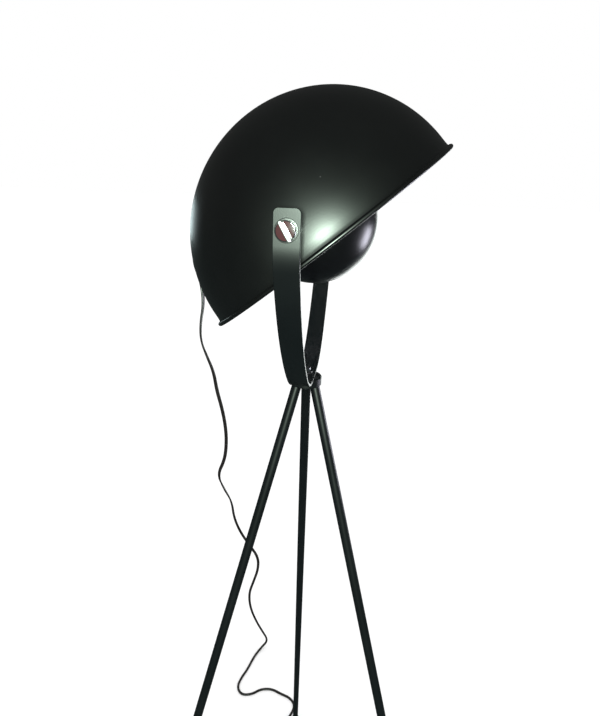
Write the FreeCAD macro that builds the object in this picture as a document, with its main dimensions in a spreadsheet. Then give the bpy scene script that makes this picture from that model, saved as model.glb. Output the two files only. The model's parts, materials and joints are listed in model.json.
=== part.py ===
import FreeCAD, Part
import math
import os
import Sketcher
from FreeCAD import Placement, Rotation, Vector

# Tripod floor lamp: a domed shade that tilts in a U-shaped flat-bar yoke on three thin tube legs.
# Millimetres, +Z up, floor at z = 0, origin under the middle of the box that holds the lamp
# without its cord.  The shade opens towards +X, and the yoke's two arms stand at -Y and +Y.

DRIVING = {
    # overall
    "pivot_height": 1260,       # tilt axis above the floor
    "tilt_down": 50.3,          # degrees that the shade points below the horizontal
    # shade and the small bowl inside it
    "shade_radius": 150,        # outside of the hemisphere
    "shade_wall": 1.2,
    "rim_drop": 29.4,           # tilt axis to the plane of the rim
    "bead_radius": 2.5,         # rolled edge
    "bowl_radius": 69,
    "bowl_wall": 1,
    "bowl_bead_radius": 1.5,
    "bowl_drop": 3.4,           # tilt axis to the bowl's own rim
    # yoke
    "arm_offset": 174,          # middle of the arm's thickness from the shade's axis
    "arm_top": 16.5,            # arm's end above the tilt axis
    "arm_straight": 12,         # straight stretch below the tilt axis
    "arm_bend": 60,             # radius of the first bend
    "arm_lean": 20,             # degrees that the arm leans in after the first bend
    "arm_knee": 50,             # degrees off the vertical where the bottom curve starts
    "yoke_drop": 184.5,         # tilt axis to the middle of the bottom's thickness
    "yoke_flat": 14,            # half of the flat stretch that the hub carries
    "bar_width": 22,
    "bar_thickness": 3,
    "bar_corner": 4,            # rounding of the arms' ends
    # pivots
    "screw_radius": 3,
    "screw_head_radius": 8.0,
    "screw_head_height": 5,
    "screw_head_bevel": 0.8,
    "tab_length": 17.5,         # thumb tab across the screw's head
    "tab_width": 3.2,
    "tab_height": 4,
    "arm_washer_radius": 9.5,
    "arm_washer_height": 1.2,
    "spacer_radius": 9,
    "pad_height": 1,            # friction pad between spacer and arm
    "boss_radius": 7,
    "boss_length": 12,
    # hub and legs
    "hub_radius": 19,
    "hub_height": 11,
    "hub_bevel": 1,
    "bolt_radius": 3,
    "bolt_head_radius": 5,
    "bolt_head_height": 6,
    "bolt_washer_radius": 7,
    "bolt_washer_height": 1.2,
    "nut_radius": 5.7,
    "nut_height": 5,
    "bolt_end": 2,              # bolt's end below its nut
    "leg_radius": 6,
    "leg_wall": 1,
    "leg_circle": 12.4,         # leg axis from the hub's axis at the hub's underside
    "leg_splay": 16.04,         # degrees off the vertical
    "leg_turn": 4.9,            # degrees that the tripod is turned against the yoke
    "stud_radius": 3,
    "stud_depth": 8,            # into the hub
    "insert_length": 22,
    "foot_radius": 8,
    "foot_length": 30,
    "foot_sole": 5,             # rubber under the tube's end
    # lamp holder and bulb
    "mount_radius": 18,
    "mount_height": 12,
    "plate_radius": 33,
    "plate_thickness": 3,
    "nipple_radius": 5,
    "cap_radius": 22,
    "cap_top_radius": 13,
    "cap_height": 25,
    "skirt_radius": 20,
    "skirt_height": 36,
    "holder_wall": 2,
    "sleeve_wall": 0.6,         # threaded sleeve in the holder
    "thread_radius": 13.2,      # bulb's screw
    "bulb_radius": 30,
    "bulb_screw_length": 24,
    "bulb_screw_taper": 6,      # its end towards the contact
    "bulb_neck": 40,            # screw's mouth to the middle of the round end
    "glass_wall": 1,
    "rod_radius": 2,
    "rod_circle": 27,           # rods from the axis at the plate
    "rod_lean": 17,             # degrees
    "rod_length": 120,
    "lug_radius": 5,
    "lug_length": 18,
    "rod_nut_radius": 4,
    "rod_nut_height": 4,
    "rod_end": 1,               # rod's end above its nut
    # cord and what is on it
    "cord_radius": 3,
    "exit_polar": 61,           # cord's outlet, degrees from the shade's top
    "exit_turn": 148,           # and round the shade's axis
    "relief_length": 30,
    "relief_foot_radius": 6.5,
    "relief_tip_radius": 4.2,
    "relief_flange_radius": 9.5,
    "relief_flange": 2,
    "coil_radius": 33,          # middle of the turns
    "coil_rows": 2,
    "tie_thickness": 0.8,
    "tie_width": 12,
    "tie_room": 0.8,            # round the coil, which curves inside the tie
    "switch_length": 64,
    "switch_width": 30,
    "switch_base_height": 9,
    "switch_cover_height": 11,
    "switch_wall": 2,
    "rocker_length": 20,
    "rocker_width": 13,
    "rocker_height": 7,
    "rocker_tilt": 8,           # degrees
    "axle_radius": 1.5,
    "casing_screw_radius": 1.4,
    "casing_screw_x": 9,        # from the switch's middle
    "casing_screw_y": 24,
    "casing_post_radius": 3.2,
    "boot_length": 14,
    "plug_length": 36,
    "plug_width": 26,
    "plug_height": 14,
    "pin_radius": 2,
    "pin_length": 19,
    "pin_depth": 8,             # of the pin that is held in the plug
    "pin_spacing": 18.6,
    # clearances
    "face_gap": 0.05,           # between flat faces that turn on each other
    "seat_gap": 0.1,            # between seats shaped to a sphere
    "shank_gap": 0.3,           # screw in a plain hole
    "thread_gap": 0.05,         # screw in its thread
}

doc = FreeCAD.newDocument("TripodLamp")
sheet = doc.addObject("Spreadsheet::Sheet", "Dim")
for row, (alias, value) in enumerate(DRIVING.items(), start=1):
    sheet.set(f"A{row}", alias)
    sheet.set(f"B{row}", str(value))
    sheet.setAlias(f"B{row}", alias)
doc.recompute()


def size(alias):
    """A driving dimension, read back from the sheet."""
    return float(sheet.get(alias))


# ---------------------------------------------------------------- places worked out from the sizes

splay = math.radians(size("leg_splay"))
hub_base = (size("pivot_height") - size("yoke_drop") - size("bar_thickness") / 2
            - size("hub_height"))
leg_reach = size("leg_circle") + hub_base * math.tan(splay)
leg_turns = {"left": 210 + size("leg_turn"), "rear": 90 + size("leg_turn"),
             "right": -30 + size("leg_turn")}


def foot_reach(towards):
    """How far the three feet reach on the floor in one direction, in degrees, from the hub's axis."""
    reaches = []
    for turn in leg_turns.values():
        off = math.radians(turn - towards)
        along = size("foot_radius") / math.cos(splay) * math.cos(off)
        across = size("foot_radius") * math.sin(off)
        reaches.append(leg_reach * math.cos(off) + math.hypot(along, across))
    return max(reaches)


pivot = Vector((foot_reach(180) - foot_reach(0)) / 2, (foot_reach(270) - foot_reach(90)) / 2,
               size("pivot_height"))
hub_place = Placement(Vector(pivot.x, pivot.y, hub_base), Rotation())
head_place = Placement(pivot, Rotation(Vector(0, 1, 0), size("tilt_down") - 90))
shade_centre = Vector(0, 0, -size("rim_drop"))
bowl_centre = Vector(0, 0, -size("bowl_drop"))

nodes = []

# ---------------------------------------------------------------- ways to build a piece


def keep(thing, label, place=None):
    """Make an object one of the lamp's sub-parts."""
    thing.Label = label
    if place is not None:
        thing.Placement = place
    nodes.append(thing)
    return thing


def bind(thing, **expressions):
    """Tie an object's properties to the sheet."""
    for name, expression in expressions.items():
        thing.setExpression(name, expression)
    return thing


def at(x=0, y=0, z=0):
    return Placement(Vector(x, y, z), Rotation())


def cylinder(radius, height, place=None):
    post = bind(doc.addObject("Part::Cylinder", "Round"), Radius=radius, Height=height)
    post.Placement = place or at()
    return post


def rod(radius, height, place):
    """A cylinder whose height is worked out from several sizes."""
    post = bind(doc.addObject("Part::Cylinder", "Rod"), Radius=radius)
    post.Height = height
    post.Placement = place
    return post


def cone(radius_low, radius_high, height, place=None):
    taper = bind(doc.addObject("Part::Cone", "Taper"), Radius1=radius_low, Radius2=radius_high,
                 Height=height)
    taper.Placement = place or at()
    return taper


def box(length, width, height, place=None):
    """A box with its base centred on the place's origin."""
    block = bind(doc.addObject("Part::Box", "Block"), Length=length, Width=width, Height=height)
    doc.recompute()
    middle = Placement(Vector(-block.Length.Value / 2, -block.Width.Value / 2, 0), Rotation())
    block.Placement = (place or at()).multiply(middle)
    return block


def sphere(radius, centre, lowest=-90):
    ball = bind(doc.addObject("Part::Sphere", "Ball"), Radius=radius)
    ball.Angle1 = lowest
    ball.Placement = Placement(centre, Rotation())
    return ball


def fuse(*things):
    joined = doc.addObject("Part::MultiFuse", "Joined")
    joined.Shapes = list(things)
    joined.Refine = True
    return joined


def cut(base, *tools):
    result = doc.addObject("Part::Cut", "CutOut")
    result.Base = base
    result.Tool = tools[0] if len(tools) == 1 else fuse(*tools)
    return result


def common(first, second):
    result = doc.addObject("Part::MultiCommon", "Shared")
    result.Shapes = [first, second]
    return result


def origin_plane(body, role):
    return next(f for f in body.Origin.OriginFeatures if f.Role == role)


def turned(name, outline):
    """A body turned about its own Z axis from a closed outline of (radius, height) expressions."""
    body = doc.addObject("PartDesign::Body", name)
    sketch = body.newObject("Sketcher::SketchObject", name + "Outline")
    sketch.AttachmentSupport = [(origin_plane(body, "XZ_Plane"), "")]
    sketch.MapMode = "FlatFace"
    count = len(outline)
    corners = [Vector(20 + 10 * math.cos(2 * math.pi * i / count),
                      20 + 10 * math.sin(2 * math.pi * i / count), 0) for i in range(count)]
    for i in range(count):
        sketch.addGeometry(Part.LineSegment(corners[i], corners[(i + 1) % count]), False)
    for i, (radius, height) in enumerate(outline):
        sketch.addConstraint(Sketcher.Constraint("Coincident", i, 2, (i + 1) % count, 1))
        for kind, axis, value in (("DistanceX", -2, radius), ("DistanceY", -1, height)):
            if value == "0":
                sketch.addConstraint(Sketcher.Constraint("PointOnObject", i, 1, axis))
            else:
                start = corners[i].x if kind == "DistanceX" else corners[i].y
                index = sketch.addConstraint(Sketcher.Constraint(kind, -1, 1, i, 1, start))
                sketch.setExpression(f"Constraints[{index}]", value)
    turn = body.newObject("PartDesign::Revolution", name + "Turn")
    turn.Profile = sketch
    turn.ReferenceAxis = (sketch, ["V_Axis"])
    turn.Angle = 360
    return body


def ring(name, outer, inner, height, bevel=None):
    """A turned ring, bevelled at its outer edges where a bevel is given."""
    if bevel is None:
        return turned(name, [(inner, "0"), (outer, "0"), (outer, height), (inner, height)])
    return turned(name, [(inner, "0"), (f"{outer} - {bevel}", "0"), (outer, bevel),
                         (outer, f"{height} - {bevel}"), (f"{outer} - {bevel}", height),
                         (inner, height)])


def shaped(name, shape):
    """A piece whose shape comes from Part's own functions."""
    thing = doc.addObject("Part::Feature", name)
    thing.Shape = shape
    return thing


# ---------------------------------------------------------------- shade and bowl

def dome(radius, wall, centre, bead):
    """A hemispherical shell with a rolled bead round its rim."""
    shell = cut(sphere(radius, centre, 0), sphere(f"{radius} - {wall}", centre, -90))
    bead_ring = bind(doc.addObject("Part::Torus", "Bead"), Radius1=f"{radius} - {wall} / 2",
                     Radius2=bead)
    bead_ring.Placement = Placement(centre, Rotation())
    return fuse(shell, bead_ring)


exit_turn = Rotation(Vector(0, 0, 1), size("exit_turn")).multiply(
    Rotation(Vector(0, 1, 0), size("exit_polar")))
exit_axis = exit_turn.multVec(Vector(0, 0, 1))


def along_exit(distance):
    """A place on the cord's outlet axis, measured from the shade's centre."""
    return Placement(shade_centre + exit_axis * distance, exit_turn)


def pivot_side(side, distance):
    """A place on the tilt axis, its Z pointing outwards; side is -1 at the near arm, 1 at the far."""
    return Placement(Vector(0, side * distance, 0), Rotation(Vector(1, 0, 0), -90 * side))


shade_inside = size("shade_radius") - size("shade_wall")
outlet_inner = (math.sqrt(shade_inside ** 2 - size("relief_flange_radius") ** 2)
                - size("relief_flange") - size("seat_gap"))
screw_inner = math.sqrt(shade_inside ** 2 - size("rim_drop") ** 2) - size("boss_length")

shade_holes = [cylinder("Dim.screw_radius + Dim.shank_gap", "2 * Dim.shade_radius",
                        pivot_side(side, 0)) for side in (-1, 1)]
shade_holes.append(cylinder("Dim.relief_foot_radius + Dim.seat_gap", "Dim.shade_radius",
                            along_exit(size("shade_radius") / 2)))
keep(cut(dome("Dim.shade_radius", "Dim.shade_wall", shade_centre, "Dim.bead_radius"),
         *shade_holes), "shade", head_place)
keep(dome("Dim.bowl_radius", "Dim.bowl_wall", bowl_centre, "Dim.bowl_bead_radius"), "glare_bowl",
     head_place.multiply(Placement(bowl_centre * 2, Rotation(Vector(1, 0, 0), 180))))

# ---------------------------------------------------------------- lamp holder, bulb, bowl's rods

plate_base = (shade_inside - size("rim_drop") - size("seat_gap") - size("mount_height")
              - size("plate_thickness"))
cap_base = plate_base - size("cap_height")
skirt_base = cap_base - size("skirt_height")
screw_mouth = skirt_base + size("holder_wall")

mount_block = cylinder("Dim.mount_radius", "2 * Dim.mount_height",
                       at(z=plate_base + size("plate_thickness")))
mount_seat = sphere("Dim.shade_radius - Dim.shade_wall - Dim.seat_gap", shade_centre)
mount_bore = cylinder("Dim.nipple_radius + Dim.thread_gap", "Dim.mount_height * 0.75",
                      at(z=plate_base + size("plate_thickness")))
keep(cut(common(mount_block, mount_seat), mount_bore), "holder_mount", head_place)

rod_places = []
for turn in (90, 210, 330):
    lean = Rotation(Vector(0, 0, 1), turn).multiply(Rotation(Vector(0, 1, 0), 180 - size("rod_lean")))
    start = Rotation(Vector(0, 0, 1), turn).multVec(Vector(size("rod_circle"), 0, plate_base))
    rod_places.append(Placement(start, lean))


def on_rod(place, distance):
    """A place that far down a rod from the plate's underside."""
    return place.multiply(at(z=distance))


rod_rise = size("plate_thickness") + size("rod_nut_height") + size("rod_end")
plate_holes = [cylinder("Dim.nipple_radius + Dim.thread_gap", "Dim.plate_thickness",
                        at(z=plate_base))]
for place in rod_places:
    plate_holes.append(cylinder("Dim.rod_radius + Dim.thread_gap", "4 * Dim.plate_thickness",
                                on_rod(place, -2 * size("plate_thickness"))))
keep(cut(cylinder("Dim.plate_radius", "Dim.plate_thickness", at(z=plate_base)), *plate_holes),
     "rod_plate", head_place)

rod_nuts = []
rod_lugs = []
for number, place in enumerate(rod_places, start=1):
    keep(rod("Dim.rod_radius", size("rod_length") + rod_rise, at()), f"bowl_rod_{number}",
         head_place.multiply(on_rod(place, -rod_rise)))
    nut = cylinder("Dim.rod_nut_radius", "3 * Dim.rod_nut_height",
                   on_rod(place, -rod_rise))
    band = cylinder("Dim.plate_radius", "Dim.rod_nut_height",
                    at(z=plate_base + size("plate_thickness") + size("face_gap")))
    bore = cylinder("Dim.rod_radius + Dim.thread_gap", "4 * Dim.rod_nut_height",
                    on_rod(place, -rod_rise - size("rod_nut_height")))
    rod_nuts.append(cut(common(nut, band), bore))
    lug = cylinder("Dim.lug_radius", "Dim.lug_length",
                   on_rod(place, size("rod_length") + size("rod_radius") - size("lug_length")))
    lug_bore = cylinder("Dim.rod_radius + Dim.thread_gap", "Dim.lug_length",
                        on_rod(place, size("rod_length") + size("face_gap") - size("lug_length")))
    seat = sphere("Dim.bowl_radius - Dim.bowl_wall - Dim.seat_gap", bowl_centre)
    rod_lugs.append(cut(common(lug, seat), lug_bore))
keep(fuse(*rod_nuts), "rod_nuts", head_place)
keep(fuse(*rod_lugs), "bowl_lugs", head_place)

nipple_height = "0.7 * Dim.mount_height + Dim.plate_thickness + 2 * Dim.holder_wall"
keep(ring("HolderNipple", "Dim.nipple_radius", "0.6 * Dim.nipple_radius", nipple_height),
     "holder_nipple", head_place.multiply(at(z=plate_base - 2 * size("holder_wall"))))

cap = turned("HolderCap", [
    ("Dim.cap_radius - Dim.holder_wall", "0"),
    ("Dim.cap_radius", "0"),
    ("Dim.cap_radius", "Dim.cap_height * 0.4"),
    ("Dim.cap_top_radius", "Dim.cap_height"),
    ("Dim.nipple_radius + Dim.thread_gap", "Dim.cap_height"),
    ("Dim.nipple_radius + Dim.thread_gap", "Dim.cap_height - Dim.holder_wall"),
    ("Dim.cap_top_radius - Dim.holder_wall", "Dim.cap_height - Dim.holder_wall"),
    ("Dim.cap_radius - Dim.holder_wall", "Dim.cap_height * 0.4 - Dim.holder_wall / 2"),
])
inlet_turn = Rotation(Vector(0, 0, 1), size("exit_turn")).multiply(Rotation(Vector(0, 1, 0), 90))
inlet_height = cap_base + 0.2 * size("cap_height")
inlet = Placement(Vector(0, 0, inlet_height), inlet_turn)
cap.Placement = at(z=cap_base)
keep(cut(cap, cylinder("Dim.cord_radius + Dim.seat_gap", "2 * Dim.cap_radius", inlet)),
     "holder_cap", head_place)

keep(ring("HolderSkirt", "Dim.skirt_radius", "Dim.skirt_radius - Dim.holder_wall",
          "Dim.skirt_height", "0.5 * Dim.holder_wall"),
     "holder_skirt", head_place.multiply(at(z=skirt_base)))
core_height = "Dim.skirt_height - Dim.bulb_screw_length - 2 * Dim.holder_wall"
core_base = screw_mouth + size("bulb_screw_length") + size("holder_wall")
keep(turned("HolderCore", [("0", "0"), ("Dim.skirt_radius - Dim.holder_wall - Dim.seat_gap", "0"),
                           ("Dim.skirt_radius - Dim.holder_wall - Dim.seat_gap", core_height),
                           ("0", core_height)]),
     "holder_core", head_place.multiply(at(z=core_base)))
keep(ring("ThreadSleeve", "Dim.thread_radius + Dim.thread_gap + Dim.sleeve_wall",
          "Dim.thread_radius + Dim.thread_gap", "Dim.bulb_screw_length"),
     "thread_sleeve", head_place.multiply(at(z=core_base - size("bulb_screw_length"))))
keep(cone("0.3 * Dim.thread_radius", "0.4 * Dim.thread_radius", "Dim.holder_wall - Dim.face_gap"),
     "centre_contact",
     head_place.multiply(at(z=core_base - size("holder_wall") + size("face_gap"))))

keep(turned("BulbScrew", [
    ("0", "0"), ("Dim.thread_radius - Dim.glass_wall", "0"), ("Dim.thread_radius", "Dim.glass_wall"),
    ("Dim.thread_radius", "Dim.bulb_screw_length - Dim.bulb_screw_taper"),
    ("0.35 * Dim.thread_radius", "Dim.bulb_screw_length"), ("0", "Dim.bulb_screw_length")]),
     "bulb_screw", head_place.multiply(at(z=screw_mouth)))


def bulb_body(shrink):
    """The round end and the tapered neck of the bulb's glass, drawn in by a wall."""
    middle = screw_mouth - size("bulb_neck")
    ball = sphere(f"Dim.bulb_radius - {shrink}", Vector(0, 0, middle))
    neck = cone(f"0.87 * Dim.bulb_radius - {shrink}", f"Dim.thread_radius - Dim.glass_wall - {shrink}",
                "Dim.bulb_neck - 0.5 * Dim.bulb_radius", at(z=middle + size("bulb_radius") / 2))
    return fuse(ball, neck)


keep(cut(bulb_body("0"), bulb_body("Dim.glass_wall")), "bulb_glass", head_place)

# ---------------------------------------------------------------- tilt pivots

pad_inner = size("arm_offset") - size("bar_thickness") / 2 - size("face_gap") - size("pad_height")
washer_inner = size("arm_offset") + size("bar_thickness") / 2
head_inner = washer_inner + size("arm_washer_height") + size("face_gap")

for name, side in (("near", -1), ("far", 1)):
    boss = cylinder("Dim.boss_radius", "2 * Dim.boss_length", pivot_side(side, screw_inner))
    boss_seat = sphere("Dim.shade_radius - Dim.shade_wall - Dim.seat_gap", shade_centre)
    boss_bore = cylinder("Dim.screw_radius + Dim.thread_gap", "3 * Dim.boss_length",
                         pivot_side(side, screw_inner - size("boss_length")))
    keep(cut(common(boss, boss_seat), boss_bore), f"pivot_boss_{name}", head_place)

    spacer = rod("Dim.spacer_radius", pad_inner - screw_inner, pivot_side(side, screw_inner))
    spacer_seat = sphere("Dim.shade_radius + Dim.seat_gap", shade_centre)
    spacer_bore = cylinder("Dim.screw_radius + Dim.shank_gap", "Dim.arm_offset",
                           pivot_side(side, screw_inner))
    keep(cut(spacer, spacer_seat, spacer_bore), f"pivot_spacer_{name}", head_place)

    keep(ring("FrictionPad" + name, "Dim.spacer_radius", "Dim.screw_radius + Dim.shank_gap",
              "Dim.pad_height"),
         f"friction_pad_{name}", head_place.multiply(pivot_side(side, pad_inner)))
    keep(ring("ArmWasher" + name, "Dim.arm_washer_radius", "Dim.screw_radius + Dim.shank_gap",
              "Dim.arm_washer_height", "0.25 * Dim.arm_washer_height"),
         f"arm_washer_{name}", Placement(pivot, Rotation()).multiply(pivot_side(side, washer_inner)))

    shank = rod("Dim.screw_radius", head_inner - screw_inner + size("screw_head_bevel"),
                pivot_side(side, screw_inner))
    head = turned("ThumbScrew" + name, [
        ("0", "0"), ("Dim.screw_head_radius", "0"),
        ("Dim.screw_head_radius", "Dim.screw_head_height - Dim.screw_head_bevel"),
        ("Dim.screw_head_radius - Dim.screw_head_bevel", "Dim.screw_head_height"),
        ("0", "Dim.screw_head_height")])
    head.Placement = pivot_side(side, head_inner)
    tab_place = pivot_side(side, head_inner + 0.5 * size("screw_head_height")).multiply(
        Placement(Vector(), Rotation(Vector(0, 0, 1), 60 * side)))
    tab = box("Dim.tab_length", "Dim.tab_width", "Dim.tab_height + 0.5 * Dim.screw_head_height",
              tab_place)
    keep(fuse(shank, head, tab), f"thumb_screw_{name}", Placement(pivot, Rotation()))

# ---------------------------------------------------------------- yoke

drop = size("yoke_drop")
lean = math.radians(size("arm_lean"))
knee = math.radians(size("arm_knee"))
bend_end = Vector(size("arm_offset") - size("arm_bend") * (1 - math.cos(lean)),
                  -size("arm_straight") - size("arm_bend") * math.sin(lean), 0)
across = math.cos(lean) - math.cos(knee)
down = math.sin(knee) - math.sin(lean)
depth = drop + bend_end.y
bottom_radius = (((bend_end.x - size("yoke_flat")) * down - depth * across)
                 / (math.cos(knee) * down - (1 - math.sin(knee)) * across))
side_radius = (depth - bottom_radius * (1 - math.sin(knee))) / down


def bend(radius, centre, start, end):
    """An arc of the yoke's line; start and end are degrees below the horizontal."""
    return Part.ArcOfCircle(Part.Circle(centre, Vector(0, 0, 1), radius), -end, -start)


yoke_line = doc.addObject("Sketcher::SketchObject", "YokeLine")
yoke_line.Placement = Placement(Vector(), Rotation(Vector(1, 1, 1), 120))
bend_centre = Vector(size("arm_offset") - size("arm_bend"), -size("arm_straight"), 0)
side_centre = bend_end - Vector(math.cos(lean), -math.sin(lean), 0) * side_radius
bottom_centre = Vector(size("yoke_flat"), bottom_radius - drop, 0)
yoke_line.addGeometry(Part.LineSegment(Vector(size("arm_offset"), size("arm_top"), 0),
                                       Vector(size("arm_offset"), -size("arm_straight"), 0)), False)
yoke_line.addGeometry(bend(size("arm_bend"), bend_centre, 0, lean), False)
yoke_line.addGeometry(bend(side_radius, side_centre, lean, knee), False)
yoke_line.addGeometry(bend(bottom_radius, bottom_centre, knee, math.pi / 2), False)
yoke_line.addGeometry(Part.LineSegment(Vector(size("yoke_flat"), -drop, 0), Vector(0, -drop, 0)),
                      False)
for first, first_end, second, second_end in ((0, 2, 1, 2), (1, 1, 2, 2), (2, 1, 3, 2), (3, 1, 4, 1)):
    yoke_line.addConstraint(Sketcher.Constraint("Tangent", first, first_end, second, second_end))
yoke_line.addConstraint(Sketcher.Constraint("Vertical", 0))
yoke_line.addConstraint(Sketcher.Constraint("Horizontal", 4))
yoke_line.addConstraint(Sketcher.Constraint("PointOnObject", 4, 2, -2))
for kind, where, value, expression in (
        ("DistanceX", (-1, 1, 0, 1), size("arm_offset"), "Dim.arm_offset"),
        ("DistanceY", (-1, 1, 0, 1), size("arm_top"), "Dim.arm_top"),
        ("DistanceY", (0, 2, -1, 1), size("arm_straight"), "Dim.arm_straight"),
        ("DistanceY", (4, 2, -1, 1), drop, "Dim.yoke_drop"),
        ("DistanceX", (4, 2, 4, 1), size("yoke_flat"), "Dim.yoke_flat"),
        ("Radius", (1,), size("arm_bend"), "Dim.arm_bend"),
        ("Angle", (1,), lean, "Dim.arm_lean * 1 deg"),
        ("Angle", (2,), knee - lean, "(Dim.arm_knee - Dim.arm_lean) * 1 deg")):
    index = yoke_line.addConstraint(Sketcher.Constraint(kind, *where, value))
    yoke_line.setExpression(f"Constraints[{index}]", expression)
doc.recompute()

# the line is the arm's middle, so the bar is the band between two offsets of it
bar_inner = bind(doc.addObject("Part::Offset2D", "BarInner"), Value="-Dim.bar_thickness / 2")
bar_inner.Source = yoke_line
bar_band = bind(doc.addObject("Part::Offset2D", "BarBand"), Value="Dim.bar_thickness")
bar_band.Source = bar_inner
for offset in (bar_inner, bar_band):
    offset.Mode = "Skin"
bar_band.Fill = True
half_bar = bind(doc.addObject("Part::Extrusion", "HalfBar"), LengthFwd="Dim.bar_width")
half_bar.Base = bar_band
half_bar.DirMode = "Custom"
half_bar.Dir = Vector(1, 0, 0)
half_bar.Symmetric = True
half_bar.Solid = True
other_half = doc.addObject("Part::Mirroring", "OtherHalf")
other_half.Source = half_bar
other_half.Normal = Vector(0, 1, 0)
bar = fuse(half_bar, other_half)
doc.recompute()
rounded_bar = doc.addObject("Part::Fillet", "RoundedBar")
rounded_bar.Base = bar
end_edges = [i for i, edge in enumerate(bar.Shape.Edges, start=1)
             if abs(edge.BoundBox.ZLength) < 0.01 and abs(edge.BoundBox.XLength) < 0.01
             and edge.BoundBox.ZMax > size("arm_top") - 0.01]
corner = min(size("bar_corner"), 0.45 * size("bar_width"))
rounded_bar.Edges = [(index, corner, corner) for index in end_edges]
yoke_holes = [cylinder("Dim.screw_radius + Dim.shank_gap", "2 * Dim.arm_offset",
                       pivot_side(side, 0)) for side in (-1, 1)]
yoke_holes.append(cylinder("Dim.bolt_radius + Dim.seat_gap", "8 * Dim.bar_thickness",
                           at(z=-drop - 4 * size("bar_thickness"))))
keep(cut(rounded_bar, *yoke_holes), "yoke", Placement(pivot, Rotation()))

# ---------------------------------------------------------------- hub, bolt and legs

leg_places = {}
for name, turn in leg_turns.items():
    lean_out = Rotation(Vector(0, 0, 1), turn).multiply(
        Rotation(Vector(0, 1, 0), 180 - size("leg_splay")))
    start = Rotation(Vector(0, 0, 1), turn).multVec(Vector(size("leg_circle"), 0, 0))
    leg_places[name] = Placement(start, lean_out)

leg_length = hub_base / math.cos(splay)
tube_length = leg_length - size("foot_sole") - size("leg_radius") * math.tan(splay)
stud_back = size("stud_depth") / math.cos(splay)
block_side = 4 * size("hub_radius")


def below_hub(thing):
    """What is left of a piece under the hub's flat underside."""
    block = doc.addObject("Part::Box", "HubSide")
    block.Length = block.Width = block.Height = block_side
    block.Placement = at(-block_side / 2, -block_side / 2, 0)
    return cut(thing, block)


hub_holes = [cylinder("Dim.bolt_radius + Dim.seat_gap", "Dim.hub_height")]
for place in leg_places.values():
    hub_holes.append(cylinder("Dim.stud_radius + Dim.thread_gap", "2 * Dim.stud_depth",
                              place.multiply(at(z=-stud_back - size("face_gap")))))
keep(cut(ring("HubDisc", "Dim.hub_radius", "0.5 * Dim.bolt_radius", "Dim.hub_height",
              "Dim.hub_bevel"), *hub_holes), "hub", hub_place)

studs = []
inserts = []
for name, place in leg_places.items():
    tube_top = place.multiply(at(z=-size("hub_radius")))
    wall = cut(rod("Dim.leg_radius", tube_length + size("hub_radius"), tube_top),
               rod("Dim.leg_radius - Dim.leg_wall", tube_length + 2 * size("hub_radius"),
                   tube_top))
    keep(below_hub(wall), f"leg_{name}", hub_place)

    studs.append(rod("Dim.stud_radius", stud_back + size("insert_length"),
                     place.multiply(at(z=-stud_back))))
    sleeve = cylinder("Dim.leg_radius - Dim.leg_wall - Dim.thread_gap", "2 * Dim.insert_length",
                      place.multiply(at(z=-size("insert_length"))))
    sleeve_bore = cylinder("Dim.stud_radius + Dim.thread_gap", "2 * Dim.insert_length",
                           place.multiply(at(z=-size("insert_length"))))
    inserts.append(below_hub(cut(sleeve, sleeve_bore)))

    rubber = cylinder("Dim.foot_radius", "Dim.foot_length + Dim.foot_radius",
                      place.multiply(at(z=leg_length - size("foot_length"))))
    socket = cylinder("Dim.leg_radius + Dim.thread_gap", "Dim.foot_length",
                      place.multiply(at(z=tube_length - size("foot_length"))))
    floor = doc.addObject("Part::Box", "BelowFloor")
    floor.Length = floor.Width = 4 * leg_reach
    floor.Height = leg_length
    floor.Placement = at(-2 * leg_reach, -2 * leg_reach, -hub_base - floor.Height.Value)
    keep(cut(rubber, socket, floor), f"foot_{name}", hub_place)
keep(fuse(*studs), "leg_studs", hub_place)
keep(fuse(*inserts), "leg_inserts", hub_place)

yoke_floor = size("hub_height") + size("bar_thickness")
washer_place = hub_place.multiply(at(z=yoke_floor))
keep(ring("BoltWasher", "Dim.bolt_washer_radius", "Dim.bolt_radius + Dim.seat_gap",
          "Dim.bolt_washer_height", "0.25 * Dim.bolt_washer_height"), "bolt_washer", washer_place)
bolt_seat = yoke_floor + size("bolt_washer_height")
bolt_reach = size("nut_height") + size("bolt_end")
bolt_shank = rod("Dim.bolt_radius", bolt_seat + bolt_reach + size("bolt_end") / 2,
                 at(z=-bolt_reach))
bolt_head = cylinder("Dim.bolt_head_radius", "Dim.bolt_head_height", at(z=bolt_seat))
hex_socket = bind(doc.addObject("Part::Prism", "HexSocket"),
                  Circumradius="0.55 * Dim.bolt_head_radius", Height="Dim.bolt_head_height")
hex_socket.Polygon = 6
hex_socket.Placement = at(z=bolt_seat + size("bolt_head_height") / 2)
keep(cut(fuse(bolt_shank, bolt_head), hex_socket), "yoke_bolt", hub_place)
nut = bind(doc.addObject("Part::Prism", "Nut"), Circumradius="Dim.nut_radius",
           Height="Dim.nut_height")
nut.Polygon = 6
nut.Placement = at(z=-size("nut_height") - size("face_gap"))
nut_bore = cylinder("Dim.bolt_radius + Dim.thread_gap", "2 * Dim.nut_height",
                    at(z=-1.5 * size("nut_height")))
keep(cut(nut, nut_bore), "yoke_nut", hub_place)

# ---------------------------------------------------------------- cord


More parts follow.
